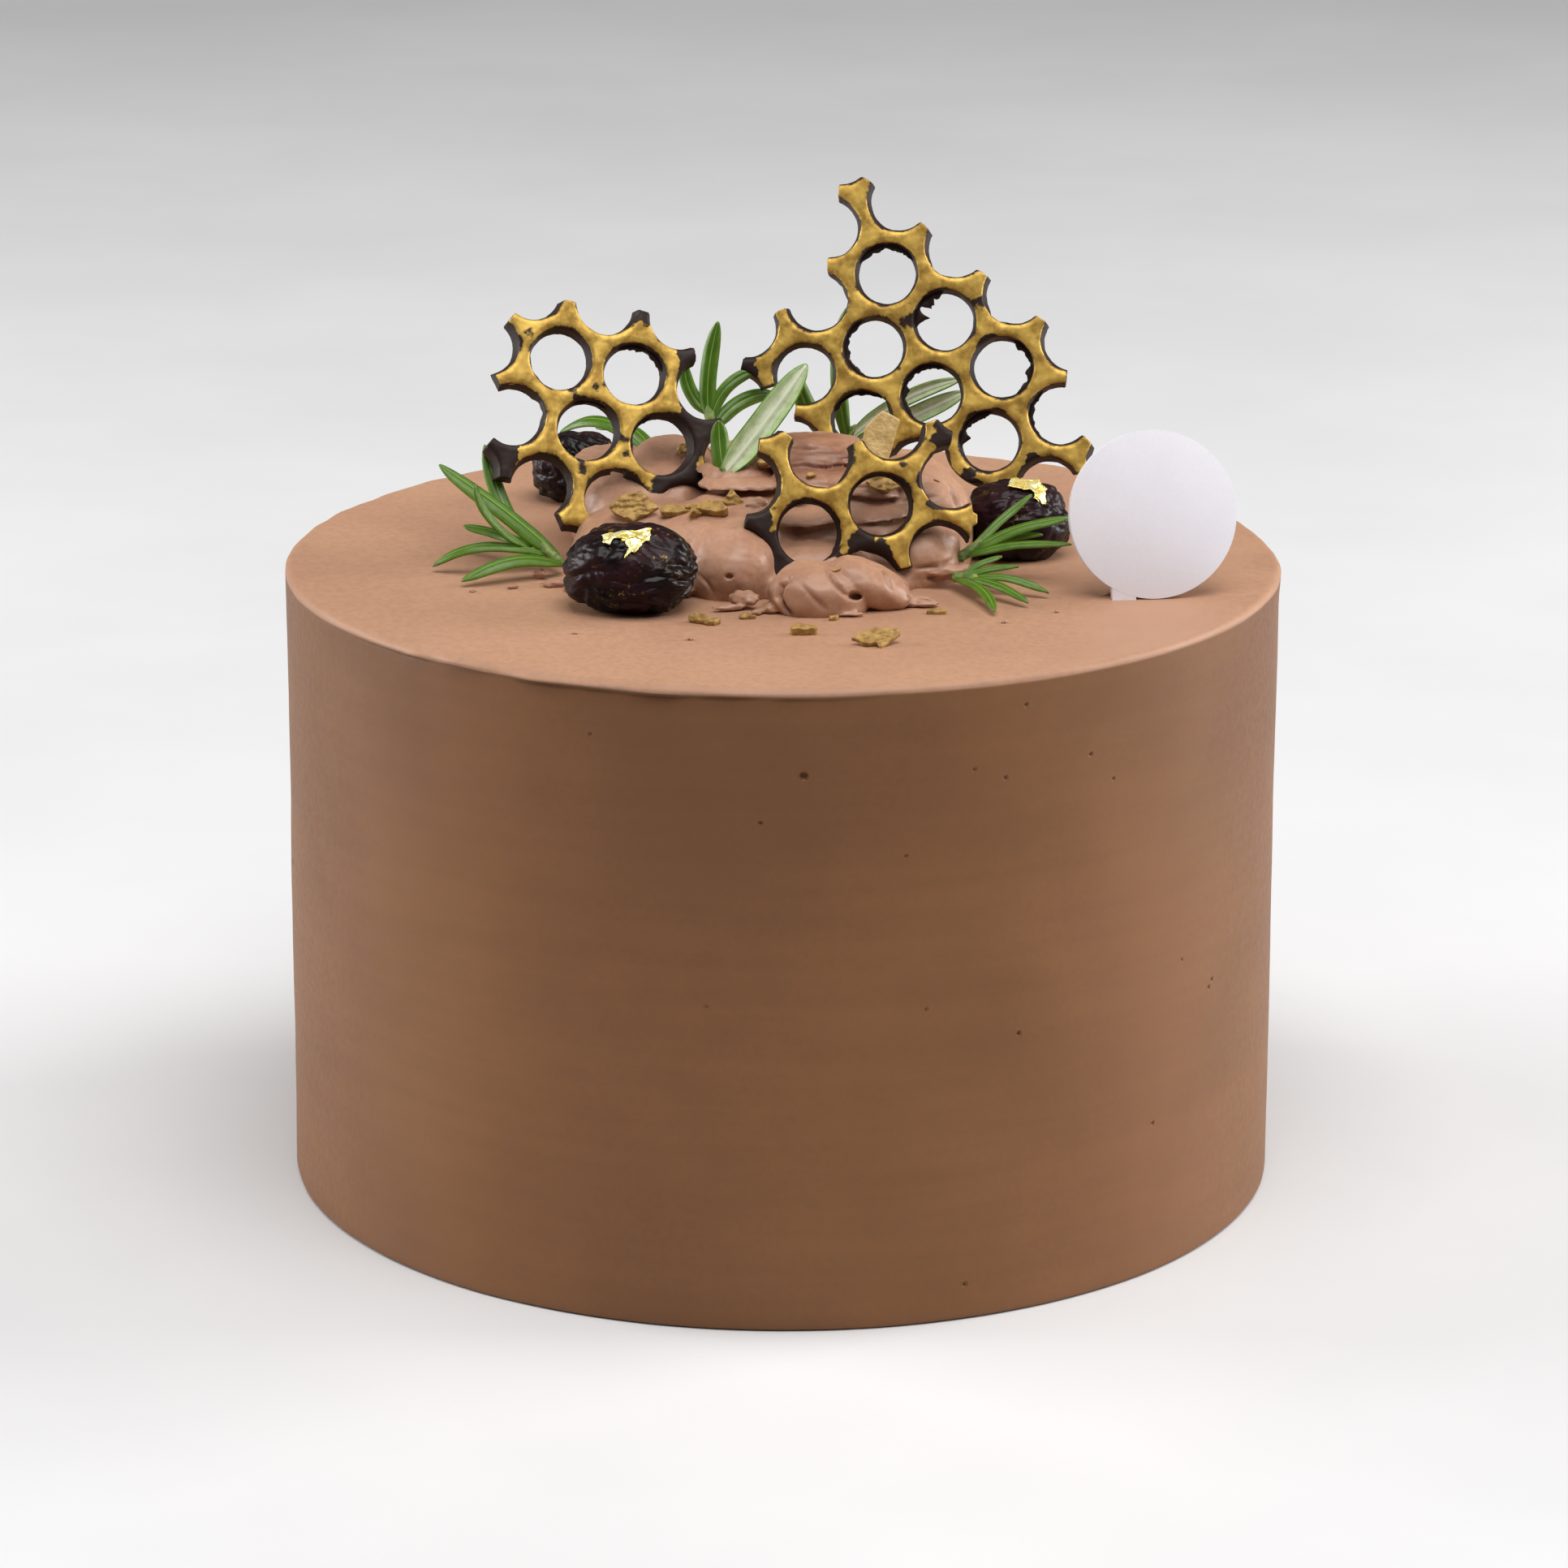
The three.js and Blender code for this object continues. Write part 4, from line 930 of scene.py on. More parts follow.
def leaf_face_group():
    """Colour along a leaf with its midrib, from the leaf's own map."""
    group, given, out = new_group(
        "leaf_face",
        [("Vector", "Vector"), ("Body", "Color"), ("Edge", "Color"), ("Rib", "Color"),
         ("Rib Width", "Float")],
        [("Colour", "Color"), ("Height", "Float")],
    )
    leaf_map = step(group, "ShaderNodeUVMap", {"uv_map": "UVMap"}).outputs["UV"]
    parts = step(group, "ShaderNodeSeparateXYZ", Vector=leaf_map).outputs
    off_middle = reckon(group, "ABSOLUTE", reckon(group, "SUBTRACT", parts["X"], 0.5))
    freckle = speckle(group, given["Vector"], scale=700, detail=3, roughness=0.6)
    fibre = speckle(group, stretched(group, leaf_map, (60, 4, 1)), scale=1.0, detail=2, roughness=0.5)
    edge = between(group, off_middle, 0.2, 0.46)
    rib = between(group, off_middle, given["Rib Width"], 0, 0, 1)
    body = blend_colours(group, edge, given["Body"], given["Edge"])
    patchy = reckon(group, "ADD", reckon(group, "MULTIPLY", freckle, 0.5),
                    reckon(group, "MULTIPLY", fibre, 0.5))
    dark = darkened(group, body, (0.66, 0.7, 0.56))
    toned = blend_colours(group, between(group, patchy, 0.36, 0.6), dark, body)
    fill(group, out, Colour=blend_colours(group, rib, toned, given["Rib"]),
         Height=reckon(group, "ADD", fibre, reckon(group, "MULTIPLY", freckle, 0.4)))
    return group


creamy_mottle = creamy_mottle_group()
brushed_gilt = brushed_gilt_group()
leaf_face = leaf_face_group()


# Finishes

def mottle(tree, where, pale, deep, blotch_scale, grain_scale, grain_share):
    return use_group(tree, creamy_mottle, Vector=where, Pale=colour_of(pale), Deep=colour_of(deep),
                     Blotch_Scale=blotch_scale, Grain_Scale=grain_scale, Grain_Share=grain_share)


def gilding(tree, where, cover, gold, old_gold, chocolate, streak_scale):
    return use_group(tree, brushed_gilt, Vector=where, Cover=cover, Gold=colour_of(gold),
                     Old_Gold=colour_of(old_gold), Chocolate=colour_of(chocolate),
                     Streak_Scale=streak_scale)


def icing_finish():
    finish, tree, surface, where = new_finish("fudge_icing")
    # Lit and shaded copies of one icing: the side's colour is painted darker and warmer than the top's,
    # as painted shade with warm bounced light on it
    top = mottle(tree, where, pale="b0876c", deep="a87f66", blotch_scale=38, grain_scale=900,
                 grain_share=0.15)
    mottled = mottle(tree, where, pale="845833", deep="7a502e", blotch_scale=30, grain_scale=900,
                     grain_share=0.15)
    strokes = speckle(tree, stretched(tree, where, (14, 14, 260)), scale=1.0, detail=3, roughness=0.6)
    deep = darkened(tree, mottled["Colour"], (0.95, 0.94, 0.93))
    side = blend_colours(tree, between(tree, strokes, 0.35, 0.65), deep, mottled["Colour"])
    # Painted shade: the side's colour darkens towards the rim, which shades it from the light above, then
    # turns into the top's colour over the rim
    height_up = step(tree, "ShaderNodeSeparateXYZ", Vector=where).outputs["Z"]
    shade = between(tree, height_up, *[height * MM for height in SIDE_SHADE])
    side = blend_colours(tree, shade, side, darkened(tree, side, (0.87, 0.85, 0.83)))
    over_rim = between(tree, height_up, *[(CAKE_TOP - drop) * MM for drop in RIM_TURN])
    fill(tree, surface.inputs, Base_Color=blend_colours(tree, over_rim, side, top["Colour"]),
         Roughness=between(tree, mottled["Grain"], 0.3, 0.7, 0.5, 0.62), Specular_IOR_Level=0.38)
    height = reckon(tree, "ADD", mottled["Grain"], reckon(tree, "MULTIPLY", strokes, 0.8))
    raised(tree, surface, height, strength=0.16, distance=0.12)
    return finish


def buttercream_finish():
    finish, tree, surface, where = new_finish("whipped_buttercream")
    mottled = mottle(tree, where, pale="b58b72", deep="a57a62", blotch_scale=120, grain_scale=1300,
                     grain_share=0.2)
    # Painted shade: the buttercream's colour darkens in its creases and hollows, where shade falls
    crease_shade = step(tree, "ShaderNodeAttribute", {"attribute_name": "crease_shade"}).outputs["Fac"]
    deep = darkened(tree, mottled["Colour"], (0.42, 0.37, 0.34))
    crease_shaded = blend_colours(tree, between(tree, crease_shade, 0.08, 1), mottled["Colour"], deep)
    # Painted shade: a darker brown, in streaky bands, over the middle of the heap between the plates,
    # where they shade it
    from_middle = step(tree, "ShaderNodeVectorMath", {"operation": "SUBTRACT"}, Vector=where)
    from_middle.inputs[1].default_value = to_metres(SHADED_HEAP_MIDDLE)
    squeezed = stretched(tree, from_middle.outputs["Vector"], [1 / (half * MM) for half in SHADED_HEAP_HALF])
    away = step(tree, "ShaderNodeVectorMath", {"operation": "LENGTH"}, Vector=squeezed).outputs["Value"]
    shade_bands = speckle(tree, stretched(tree, where, (50, 50, 420)), scale=1.0, detail=3, roughness=0.6)
    streaks = between(tree, shade_bands, 0.36, 0.62, 0.35, 1)
    inside = reckon(tree, "MULTIPLY", between(tree, away, 1.05, 0.5), streaks)
    # The colour of the painted shade over the middle of the heap
    fudge = darkened(tree, crease_shaded, (0.5, 0.36, 0.29))
    fill(tree, surface.inputs, Base_Color=blend_colours(tree, inside, crease_shaded, fudge),
         Roughness=between(tree, mottled["Grain"], 0.3, 0.7, 0.36, 0.5), Specular_IOR_Level=0.45,
         Subsurface_Weight=0.05, Subsurface_Radius=(0.9, 0.45, 0.3), Subsurface_Scale=0.0012)
    raised(tree, surface, mottled["Grain"], strength=0.14, distance=0.1)
    return finish


def honeycomb_finish():
    finish, tree, surface, where = new_finish("gilded_honeycomb")
    cover = step(tree, "ShaderNodeAttribute", {"attribute_name": "gilding"}).outputs["Fac"]
    gilded = gilding(tree, where, cover, gold="d3af57", old_gold="9b7835", chocolate="261712",
                     streak_scale=380)
    fill(tree, surface.inputs, Base_Color=gilded["Colour"], Roughness=gilded["Roughness"],
         Metallic=reckon(tree, "MULTIPLY", gilded["Gilt"], 0.5), Specular_IOR_Level=0.24)
    raised(tree, surface, gilded["Height"], strength=0.07, distance=0.15)
    return finish


def flake_finish(name, gold, old_gold, cover):
    finish, tree, surface, where = new_finish(name)
    grained = stretched(tree, where, (1, 0.35, 1), (0, 0, 0.5))
    gilded = gilding(tree, grained, cover, gold, old_gold, chocolate="4b331b", streak_scale=800)
    fill(tree, surface.inputs, Base_Color=gilded["Colour"],
         Metallic=reckon(tree, "MULTIPLY", gilded["Gilt"], 0.3),
         Roughness=reckon(tree, "ADD", gilded["Roughness"], 0.1))
    raised(tree, surface, gilded["Height"], strength=0.4, distance=0.35)
    return finish


def leaf_finish(name, body, edge, rib, rib_width, roughness, relief, glow=0):
    finish, tree, surface, where = new_finish(name)
    face = use_group(tree, leaf_face, Vector=where, Body=colour_of(body), Edge=colour_of(edge),
                     Rib=colour_of(rib), Rib_Width=rib_width)
    fill(tree, surface.inputs, Base_Color=face["Colour"], Roughness=roughness, Subsurface_Weight=glow,
         Subsurface_Radius=(0.3, 0.6, 0.15), Subsurface_Scale=0.001)
    raised(tree, surface, face["Height"], strength=relief, distance=0.2)
    return finish


def stem_finish():
    finish, tree, surface, where = new_finish("rosemary_stem")
    bark = speckle(tree, where, scale=900, detail=3, roughness=0.6)
    fill(tree, surface.inputs, Roughness=0.6,
         Base_Color=two_tone(tree, bark, 0.35, 0.65, "4f6a26", "87964f"))
    raised(tree, surface, bark, strength=0.4, distance=0.2)
    return finish


def cherry_finish():
    finish, tree, surface, where = new_finish("cherry_skin")
    blush = speckle(tree, where, scale=160, detail=4, roughness=0.6)
    skin = two_tone(tree, blush, 0.38, 0.7, "0b0507", "260c14")
    dust = speckle(tree, where, scale=1500, detail=3, roughness=0.7)
    drift = speckle(tree, where, scale=210, detail=2, roughness=0.5)
    gold = reckon(tree, "MULTIPLY", between(tree, dust, 0.55, 0.7), between(tree, drift, 0.52, 0.66))
    fill(tree, surface.inputs, Base_Color=blend_colours(tree, gold, skin, colour_of("9c7a3e")),
         Metallic=reckon(tree, "MULTIPLY", gold, 0.7),
         Roughness=between(tree, blush, 0.3, 0.7, 0.3, 0.46),
         Specular_IOR_Level=0.15, Coat_Weight=0.08, Coat_Roughness=0.06)
    pucker = speckle(tree, where, scale=700, detail=3, roughness=0.55)
    raised(tree, surface, pucker, strength=0.35, distance=0.4)
    return finish


def gold_leaf_finish():
    finish, tree, surface, where = new_finish("gold_leaf")
    crease = speckle(tree, where, scale=700, detail=3, roughness=0.6)
    fill(tree, surface.inputs, Base_Color=two_tone(tree, crease, 0.35, 0.65, "f0d765", "fff9c4"),
         Metallic=0.55, Roughness=between(tree, crease, 0.3, 0.7, 0.18, 0.32))
    raised(tree, surface, crease, strength=0.5, distance=0.3)
    return finish


def topper_finish():
    finish, tree, surface, where = new_finish("topper_card")
    mottled = mottle(tree, where, pale="f2f2fa", deep="edecf6", blotch_scale=60, grain_scale=2500,
                     grain_share=0.05)
    fill(tree, surface.inputs, Base_Color=mottled["Colour"],
         Roughness=between(tree, mottled["Grain"], 0.3, 0.7, 0.34, 0.44))
    raised(tree, surface, mottled["Grain"], strength=0.06, distance=0.05)
    return finish


def floor_finish():
    finish, tree, surface, where = new_finish("pale_floor")
    drift = speckle(tree, where, scale=6, detail=4, roughness=0.6)
    fill(tree, surface.inputs, Roughness=0.5,
         Base_Color=two_tone(tree, drift, 0.3, 0.7, "d0d1d4", "d6d7da"))
    return finish


# The cake

def cake_corner(radius, height, round_size, start, steps):
    """Points of a rounded edge of the cake, outwards and up from a starting direction."""
    points = []
    for number in range(steps + 1):
        angle = math.radians(start + 90 * number / steps)
        points.append((radius + round_size * math.cos(angle), height + round_size * math.sin(angle)))
    return points


def cake_outline():
    """Radius and height of each ring of the cake, from the edge of its base to near its middle."""
    rings = cake_corner(CAKE_BASE_RADIUS - FOOT_ROUND, FOOT_ROUND, FOOT_ROUND, -90, FOOT_STEPS)
    side_height = CAKE_TOP - RIM_ROUND - FOOT_ROUND
    height = FOOT_ROUND + SIDE_ROW
    while height < CAKE_TOP - RIM_ROUND - 0.5 * RIM_ROW:
        share = (height - FOOT_ROUND) / side_height
        rings.append((CAKE_BASE_RADIUS + (CAKE_RADIUS - CAKE_BASE_RADIUS) * share, height))
        height += SIDE_ROW if height < CAKE_TOP - RIM_ROUND - RIM_BAND else RIM_ROW
    rings += cake_corner(CAKE_RADIUS - RIM_ROUND, CAKE_TOP - RIM_ROUND, RIM_ROUND, 0, RIM_STEPS)
    radius = CAKE_RADIUS - RIM_ROUND - RIM_TOP_ROW
    while radius > TOP_ROW:
        rings.append((radius, CAKE_TOP))
        radius -= RIM_TOP_ROW if radius > CAKE_RADIUS - RIM_ROUND - RIM_TOP_BAND else TOP_ROW
    return rings


def raise_cake():
    """Raises the cake ring by ring from the edge of its base and closes it."""
    rings = cake_outline()
    radius, height = rings[0]
    bpy.ops.mesh.primitive_circle_add(vertices=CAKE_SIDES, radius=radius * MM, fill_type="NOTHING")
    cake = bpy.context.object
    edit(cake)
    for next_radius, next_height in rings[1:]:
        rise = (next_height - height) * MM
        bpy.ops.mesh.extrude_edges_move(TRANSFORM_OT_translate={"value": (0, 0, rise)})
        share = next_radius / radius
        bpy.ops.transform.resize(value=(share, share, 1), center_override=(0, 0, 0))
        radius, height = next_radius, next_height
    bpy.ops.mesh.merge(type="CENTER")
    bpy.ops.mesh.select_all(action="DESELECT")
    bpy.ops.mesh.select_non_manifold()
    bpy.ops.mesh.edge_face_add()
    bpy.ops.mesh.select_all(action="SELECT")
    bpy.ops.mesh.normals_make_consistent(inside=False)
    edited()
    return cake


def angle_right_of_front(point):
    return math.degrees(math.atan2(point.x, -point.y))


def scrape_rim(cake):
    """Leaves the wavering edge of the scraper along the rim, with a thin ledge at the front."""
    for vertex in cake.data.vertices:
        x, y, z = vertex.co
        reach = math.hypot(x, y) / MM
        drop = CAKE_TOP - z / MM
        if reach < CAKE_RADIUS - MARKS_INSIDE[0] or drop > MARKS_BELOW[0]:
            continue
        near = smooth_step(CAKE_RADIUS - MARKS_INSIDE[0], CAKE_RADIUS - MARKS_INSIDE[1], reach)
        near *= smooth_step(*MARKS_BELOW, drop)
        waver = noise.noise(Vector((x, y, 0)) * WAVER_PITCH)
        ripple = noise.noise(Vector((x, y, RIPPLE_LAYER)) * RIPPLE_PITCH)
        off_middle = abs(angle_right_of_front(vertex.co) - LEDGE_MIDDLE)
        ledge = smooth_step(LEDGE_HALF, LEDGE_HALF - LEDGE_FADE, off_middle)
        stray = noise.noise(Vector((x, y, LEDGE_LAYER)) * LEDGE_PITCH)
        foot = LEDGE_DROP + LEDGE_STRAY * stray
        lip = smooth_step(0, LIP_ROUND, drop) * smooth_step(foot + LIP_EDGE, foot, drop)
        groove = bell(drop - foot - GROOVE_BELOW, GROOVE_HALF)
        push = WAVER_PUSH * near * waver + RIPPLE_PUSH * near * ripple
        push += LEDGE_DEPTH * ledge * (lip - GROOVE_SHARE * groove) * (LEDGE_EVEN + ripple)
        vertex.co += Vector((x, y, 0)).normalized() * push * MM
        ridge = bell(reach - CAKE_RADIUS + RIDGE_INSIDE, RIDGE_HALF) * smooth_step(*RIDGE_DROPS, drop)
        lift = (WAVER_LIFT * waver + RIPPLE_LIFT * ripple) * near * MM
        vertex.co.z += lift * smooth_step(LIFT_BELOW, 0, drop)
        vertex.co.z += LEDGE_RISE * ledge * ridge * (LEDGE_EVEN + ripple) * MM


def pit_place(pit):
    angle, height, _, _ = pit
    reach = CAKE_BASE_RADIUS + (CAKE_RADIUS - CAKE_BASE_RADIUS) * height / CAKE_TOP
    turn = math.radians(angle)
    return to_metres((reach * math.sin(turn), -reach * math.cos(turn), height))


def press_side_pits(cake):
    """Cuts the faces round each pit smaller and presses the pit in."""
    places = [(pit_place(pit), pit[2] * MM, pit[3] * MM) for pit in SIDE_PITS]
    pick(cake)
    bpy.ops.object.mode_set(mode="EDIT")
    bpy.ops.mesh.select_all(action="DESELECT")
    bpy.ops.mesh.select_mode(type="FACE")
    bpy.ops.object.mode_set(mode="OBJECT")
    for face in cake.data.polygons:
        face.select = any((face.center - place).length < max(PIT_CUT_REACH * size, SIDE_ROW * MM)
                          for place, size, _ in places)
    bpy.ops.object.mode_set(mode="EDIT")
    bpy.ops.mesh.subdivide(number_cuts=PIT_CUTS)
    bpy.ops.mesh.select_mode(type="VERT")
    bpy.ops.object.mode_set(mode="OBJECT")
    for place, size, depth in places:
        inwards = -Vector((place.x, place.y, 0)).normalized()
        for vertex in cake.data.vertices:
            gap = (vertex.co - place).length / size
            if gap < PIT_REACH:
                lip = PIT_LIP * bell(gap - PIT_LIP_AT, PIT_LIP_HALF)
                vertex.co += inwards * depth * (math.exp(-gap ** 4) - lip)


def iced_cake(finish):
    cake = raise_cake()
    for lumps in ICING_UNEVEN:
        roughened(cake, *lumps)
    scrape_rim(cake)
    press_side_pits(cake)
    for vertex in cake.data.vertices:
        vertex.co.z = max(0, vertex.co.z)
    crumbs = []
    for (x, y), half, turn in ICING_CRUMBS:
        level = level_under(cake, x, y) + CRUMB_LIFT * half[2]
        crumbs.append(scrap((x, y, level), half, turn, 0))
    cake = joined([cake, *crumbs])
    served(cake, "iced_cake", [finish], ["cake"])
    return cake


# The buttercream

def lump(centre, half, turn, drawn, roll=0):
    """A soft block of buttercream, uneven, with its crown drawn over."""
    piece = unit_ball(LUMP_GRID)
    shift = Vector(centre) * LUMP_SHIFT
    for vertex in piece.data.vertices:
        point = fuller(vertex.co, BOXY)
        swell = 1 + waves(point, shift, *LUMP_WAVES)
        crown = max(0, point.z) ** 2
        vertex.co = Vector((
            (point.x * half[0] * swell + crown * drawn[0]) * MM,
            (point.y * half[1] * swell + crown * drawn[1]) * MM,
            point.z * half[2] * swell * MM,
        ))
    placed(piece, turned_place(centre, turn, 0, roll))
    return piece


def fold(centre, half, turn, tilt, roll):
    """A ribbon of buttercream as a palette knife leaves it: round above, sharp at its lower edge."""
    piece = unit_ball(FOLD_GRID)
    shift = Vector(centre) * FOLD_SHIFT
    for vertex in piece.data.vertices:
        x, y, z = vertex.co
        reach = math.hypot(x, y)
        flat = Vector((x, y, 0))
        edge = 1 + waves(flat, shift, *FOLD_WAVES) + waves(flat, shift, *FOLD_FRAYS)
        sag = waves(flat, -shift, *FOLD_SAG)
        thick = math.sqrt(max(0, 1 - reach ** 4)) if z > 0 else -FOLD_BELLY * max(0, 1 - reach ** 2)
        vertex.co = to_metres((x * half[0] * edge, y * half[1] * edge, half[2] * (thick + sag)))
    placed(piece, turned_place(centre, turn, tilt, roll))
    return piece


def scrap(centre, half, turn, tilt):
    """A small torn lump of buttercream or icing."""
    bpy.ops.mesh.primitive_ico_sphere_add(subdivisions=SCRAP_FINENESS, radius=1)
    piece = bpy.context.object
    shift = Vector(centre)
    for vertex in piece.data.vertices:
        point = vertex.co.copy()
        torn = 1 + waves(point, shift, *SCRAP_WAVES) + waves(point, shift, *SCRAP_FRAYS)
        vertex.co = sized(point, half) * torn * MM
    placed(piece, turned_place(centre, turn, tilt))
    return piece


def curl():
    """The rolled end of the front spoonful."""
    centre, half_length, half_height, roll_radius, tilt, turn = CURL
    bpy.ops.mesh.primitive_torus_add(major_segments=CURL_GRID[0], minor_segments=CURL_GRID[1],
                                     major_radius=half_length * MM, minor_radius=roll_radius * MM)
    piece = bpy.context.object
    for vertex in piece.data.vertices:
        vertex.co.y *= half_height / half_length
    placed(piece, turned_place(centre, turn, tilt))
    return piece


def press_creases(cream):
    """Draws the creases into the front of the buttercream, fading at their ends."""
    points_near = KDTree(len(cream.data.vertices))
    for vertex in cream.data.vertices:
        points_near.insert(vertex.co, vertex.index)
    points_near.balance()
    outwards = [vertex.normal.copy() for vertex in cream.data.vertices]
    moves = {}
    for line, half_width, depth in CREAM_CREASES:
        pressed = {}
        parts = len(line) - 1
        for number in range(CREASE_STEPS + 1):
            share = parts * number / CREASE_STEPS
            part = min(parts - 1, int(share))
            x, z = Vector(line[part]).lerp(Vector(line[part + 1]), share - part)
            hit, where, _, _ = cream.ray_cast(to_metres((x, LOOK_IN_FROM, z)), Vector((0, 1, 0)))
            if not hit:
                continue
            inner = 1 - 2 * CREASE_ENDS
            fade = math.sqrt(math.sin(math.pi * (CREASE_ENDS + inner * number / CREASE_STEPS)))
            for _, index, gap in points_near.find_range(where, CREASE_REACH * half_width * MM):
                strength = fade * bell(gap, half_width * MM)
                pressed[index] = max(strength, pressed.get(index, 0))
        for index, strength in pressed.items():
            moves[index] = moves.get(index, 0) + depth * strength * MM
    for index, move in moves.items():
        cream.data.vertices[index].co -= outwards[index] * move


def press_cream_pits(cream):
    """Presses the air pits into the front of the buttercream."""
    inwards = Vector(PIT_INWARDS).normalized()
    for centre, size, depth in CREAM_PITS:
        place = to_metres(centre)
        for vertex in cream.data.vertices:
            gap = vertex.co - place
            if gap.length > PIT_REACH * size * MM:
                continue
            across = gap - inwards * gap.dot(inwards)
            across.x /= PIT_STRETCH
            share = math.exp(-(across.length / (size * MM)) ** PIT_STEEPNESS)
            vertex.co += inwards * depth * share * MM


def store_crease_shade(cream):
    """Stores how deep each point lies in a crease, measured against a smoothed copy: the mask of the
    painted shade in the creases.
    """
    smoothed = cream.copy()
    smoothed.data = cream.data.copy()
    bpy.context.collection.objects.link(smoothed)
    finish_with(smoothed, "SMOOTH", factor=SMOOTHING, iterations=CREASE_SHADE_PASSES)
    depths = []
    for point, level in zip(cream.data.vertices, smoothed.data.vertices):
        depths.append((level.co - point.co).dot(point.normal) / (CREASE_SHADE_DEPTH * MM))
    thrown_away(smoothed)
    cream.data.attributes.new("crease_shade", "FLOAT", "POINT").data.foreach_set("value", depths)


def spooned_buttercream(finish):
    heap = joined([lump(*spoonful) for spoonful in BROAD_SPOONFULS])
    fused(heap, BROAD_VOXEL, BROAD_PASSES)
    pieces = [heap]
    pieces += [lump(*spoonful) for spoonful in FRONT_SPOONFULS]
    pieces += [fold(*ribbon) for ribbon in KNIFE_FOLDS]
    pieces += [scrap(*torn) for torn in CREAM_SCRAPS]
    pieces.append(curl())
    cream = joined(pieces)
    fused(cream, CREAM_VOXEL, CREAM_PASSES)
    for lumps in CREAM_UNEVEN:
        roughened(cream, *lumps)
    press_creases(cream)
    press_cream_pits(cream)
    finish_with(cream, "DECIMATE", ratio=CREAM_KEPT)
    cut_below(cream, CAKE_TOP - HEAP_SINK)
    store_crease_shade(cream)
    served(cream, "spooned_buttercream", [finish], ["buttercream"])
    return cream


# The cherries and their gold leaf

def sour_cherry(name, finish):
    """A shrivelled cherry: soft folds with finer creases between them."""
    (x, y), half, turn, seed = CHERRIES[name]
    shift = Vector((seed, SEED_SLANT * seed, 0))
    towards = Vector(DENT_TOWARDS).normalized()
    cherry = unit_ball(CHERRY_GRID)
    strength, pitch = CHERRY_WARP
    for vertex in cherry.data.vertices:
        point = vertex.co.copy()
        warped = point + strength * noise.noise_vector(point * pitch + shift)
        drawn = sized(warped, CHERRY_DRAWN)
        size = CHERRY_CORE - DENT_DEPTH * bell((point - towards).length, DENT_REACH)
        for depth, wrinkle_pitch in CHERRY_WRINKLES:
            size += depth * abs(noise.noise(drawn * wrinkle_pitch + shift))
        vertex.co = sized(fuller(point, CHERRY_BOXY) * size, half) * MM
    placed(cherry, turned_place((x, y, CAKE_TOP + half[2] - CHERRY_SINK), turn))
    served(cherry, "shrivelled_" + name, [finish], [name])
    return cherry


def gold_scrap(cherry, corners, curl_height, seed):
    """A torn scrap of gold leaf that lies on a cherry, crumpled, with its edge curling up."""
    leaf = unit_sheet(GOLD_GRID)
    near_left, near_right, far_right, far_left = [Vector(corner) for corner in corners]
    pitch, fine_pitch = GOLD_RAGGED_PITCH, GOLD_CRUMPLE_PITCH
    for vertex in leaf.data.vertices:
        across = (vertex.co.x + 1) / 2
        along = (vertex.co.y + 1) / 2
        ragged = Vector([noise.noise(Vector((across * pitch, along * pitch, layer)))
                         for layer in (seed, seed + GOLD_SEED_STEP)])
        near = near_left.lerp(near_right, across)
        far = far_left.lerp(far_right, across)
        place = near.lerp(far, along) + GOLD_RAGGED * ragged
        edge = max(abs(vertex.co.x), abs(vertex.co.y))
        crumple = abs(noise.noise(Vector((place.x * fine_pitch, place.y * fine_pitch, seed))))
        level = level_under(cherry, place.x, place.y) + GOLD_GAP
        curled = curl_height * smooth_step(GOLD_CURL_FROM, 1, edge) * (GOLD_CURL_EVEN + ragged.x)
        vertex.co = to_metres((place.x, place.y, level + (GOLD_CRUMPLE * crumple + curled)))
    finish_with(leaf, "SMOOTH", factor=SMOOTHING, iterations=GOLD_PASSES)
    finish_with(leaf, "SOLIDIFY", thickness=GOLD_THICKNESS * MM, offset=1)
    merged(leaf)
    return leaf


# The honeycomb

def hole_place(column, row):
    return Vector((HOLE_PITCH * (column + row / 2), -HOLE_PITCH * row * math.sqrt(3) / 2))


def joint_place(column, row, triangle):
    corner = hole_place(column, row) if triangle == 0 else hole_place(column + 1, row + 1)
    return (corner + hole_place(column + 1, row) + hole_place(column, row + 1)) / 3


def slug(place, front_radius, back_radius, front, back, sides=SLUG_SIDES, turn=0):
    """A slug across the plate, flat on the workbench with its front face up."""
    middle = to_metres((place.x, place.y, (front + back) / 2))
    bpy.ops.mesh.primitive_cone_add(vertices=sides, radius1=back_radius * MM,
                                    radius2=front_radius * MM, depth=(front - back) * MM,
                                    location=middle, rotation=(0, 0, math.radians(turn)))
    piece = bpy.context.object
    pick(piece)
    bpy.ops.object.transform_apply(location=True, rotation=True, scale=True)
    return piece


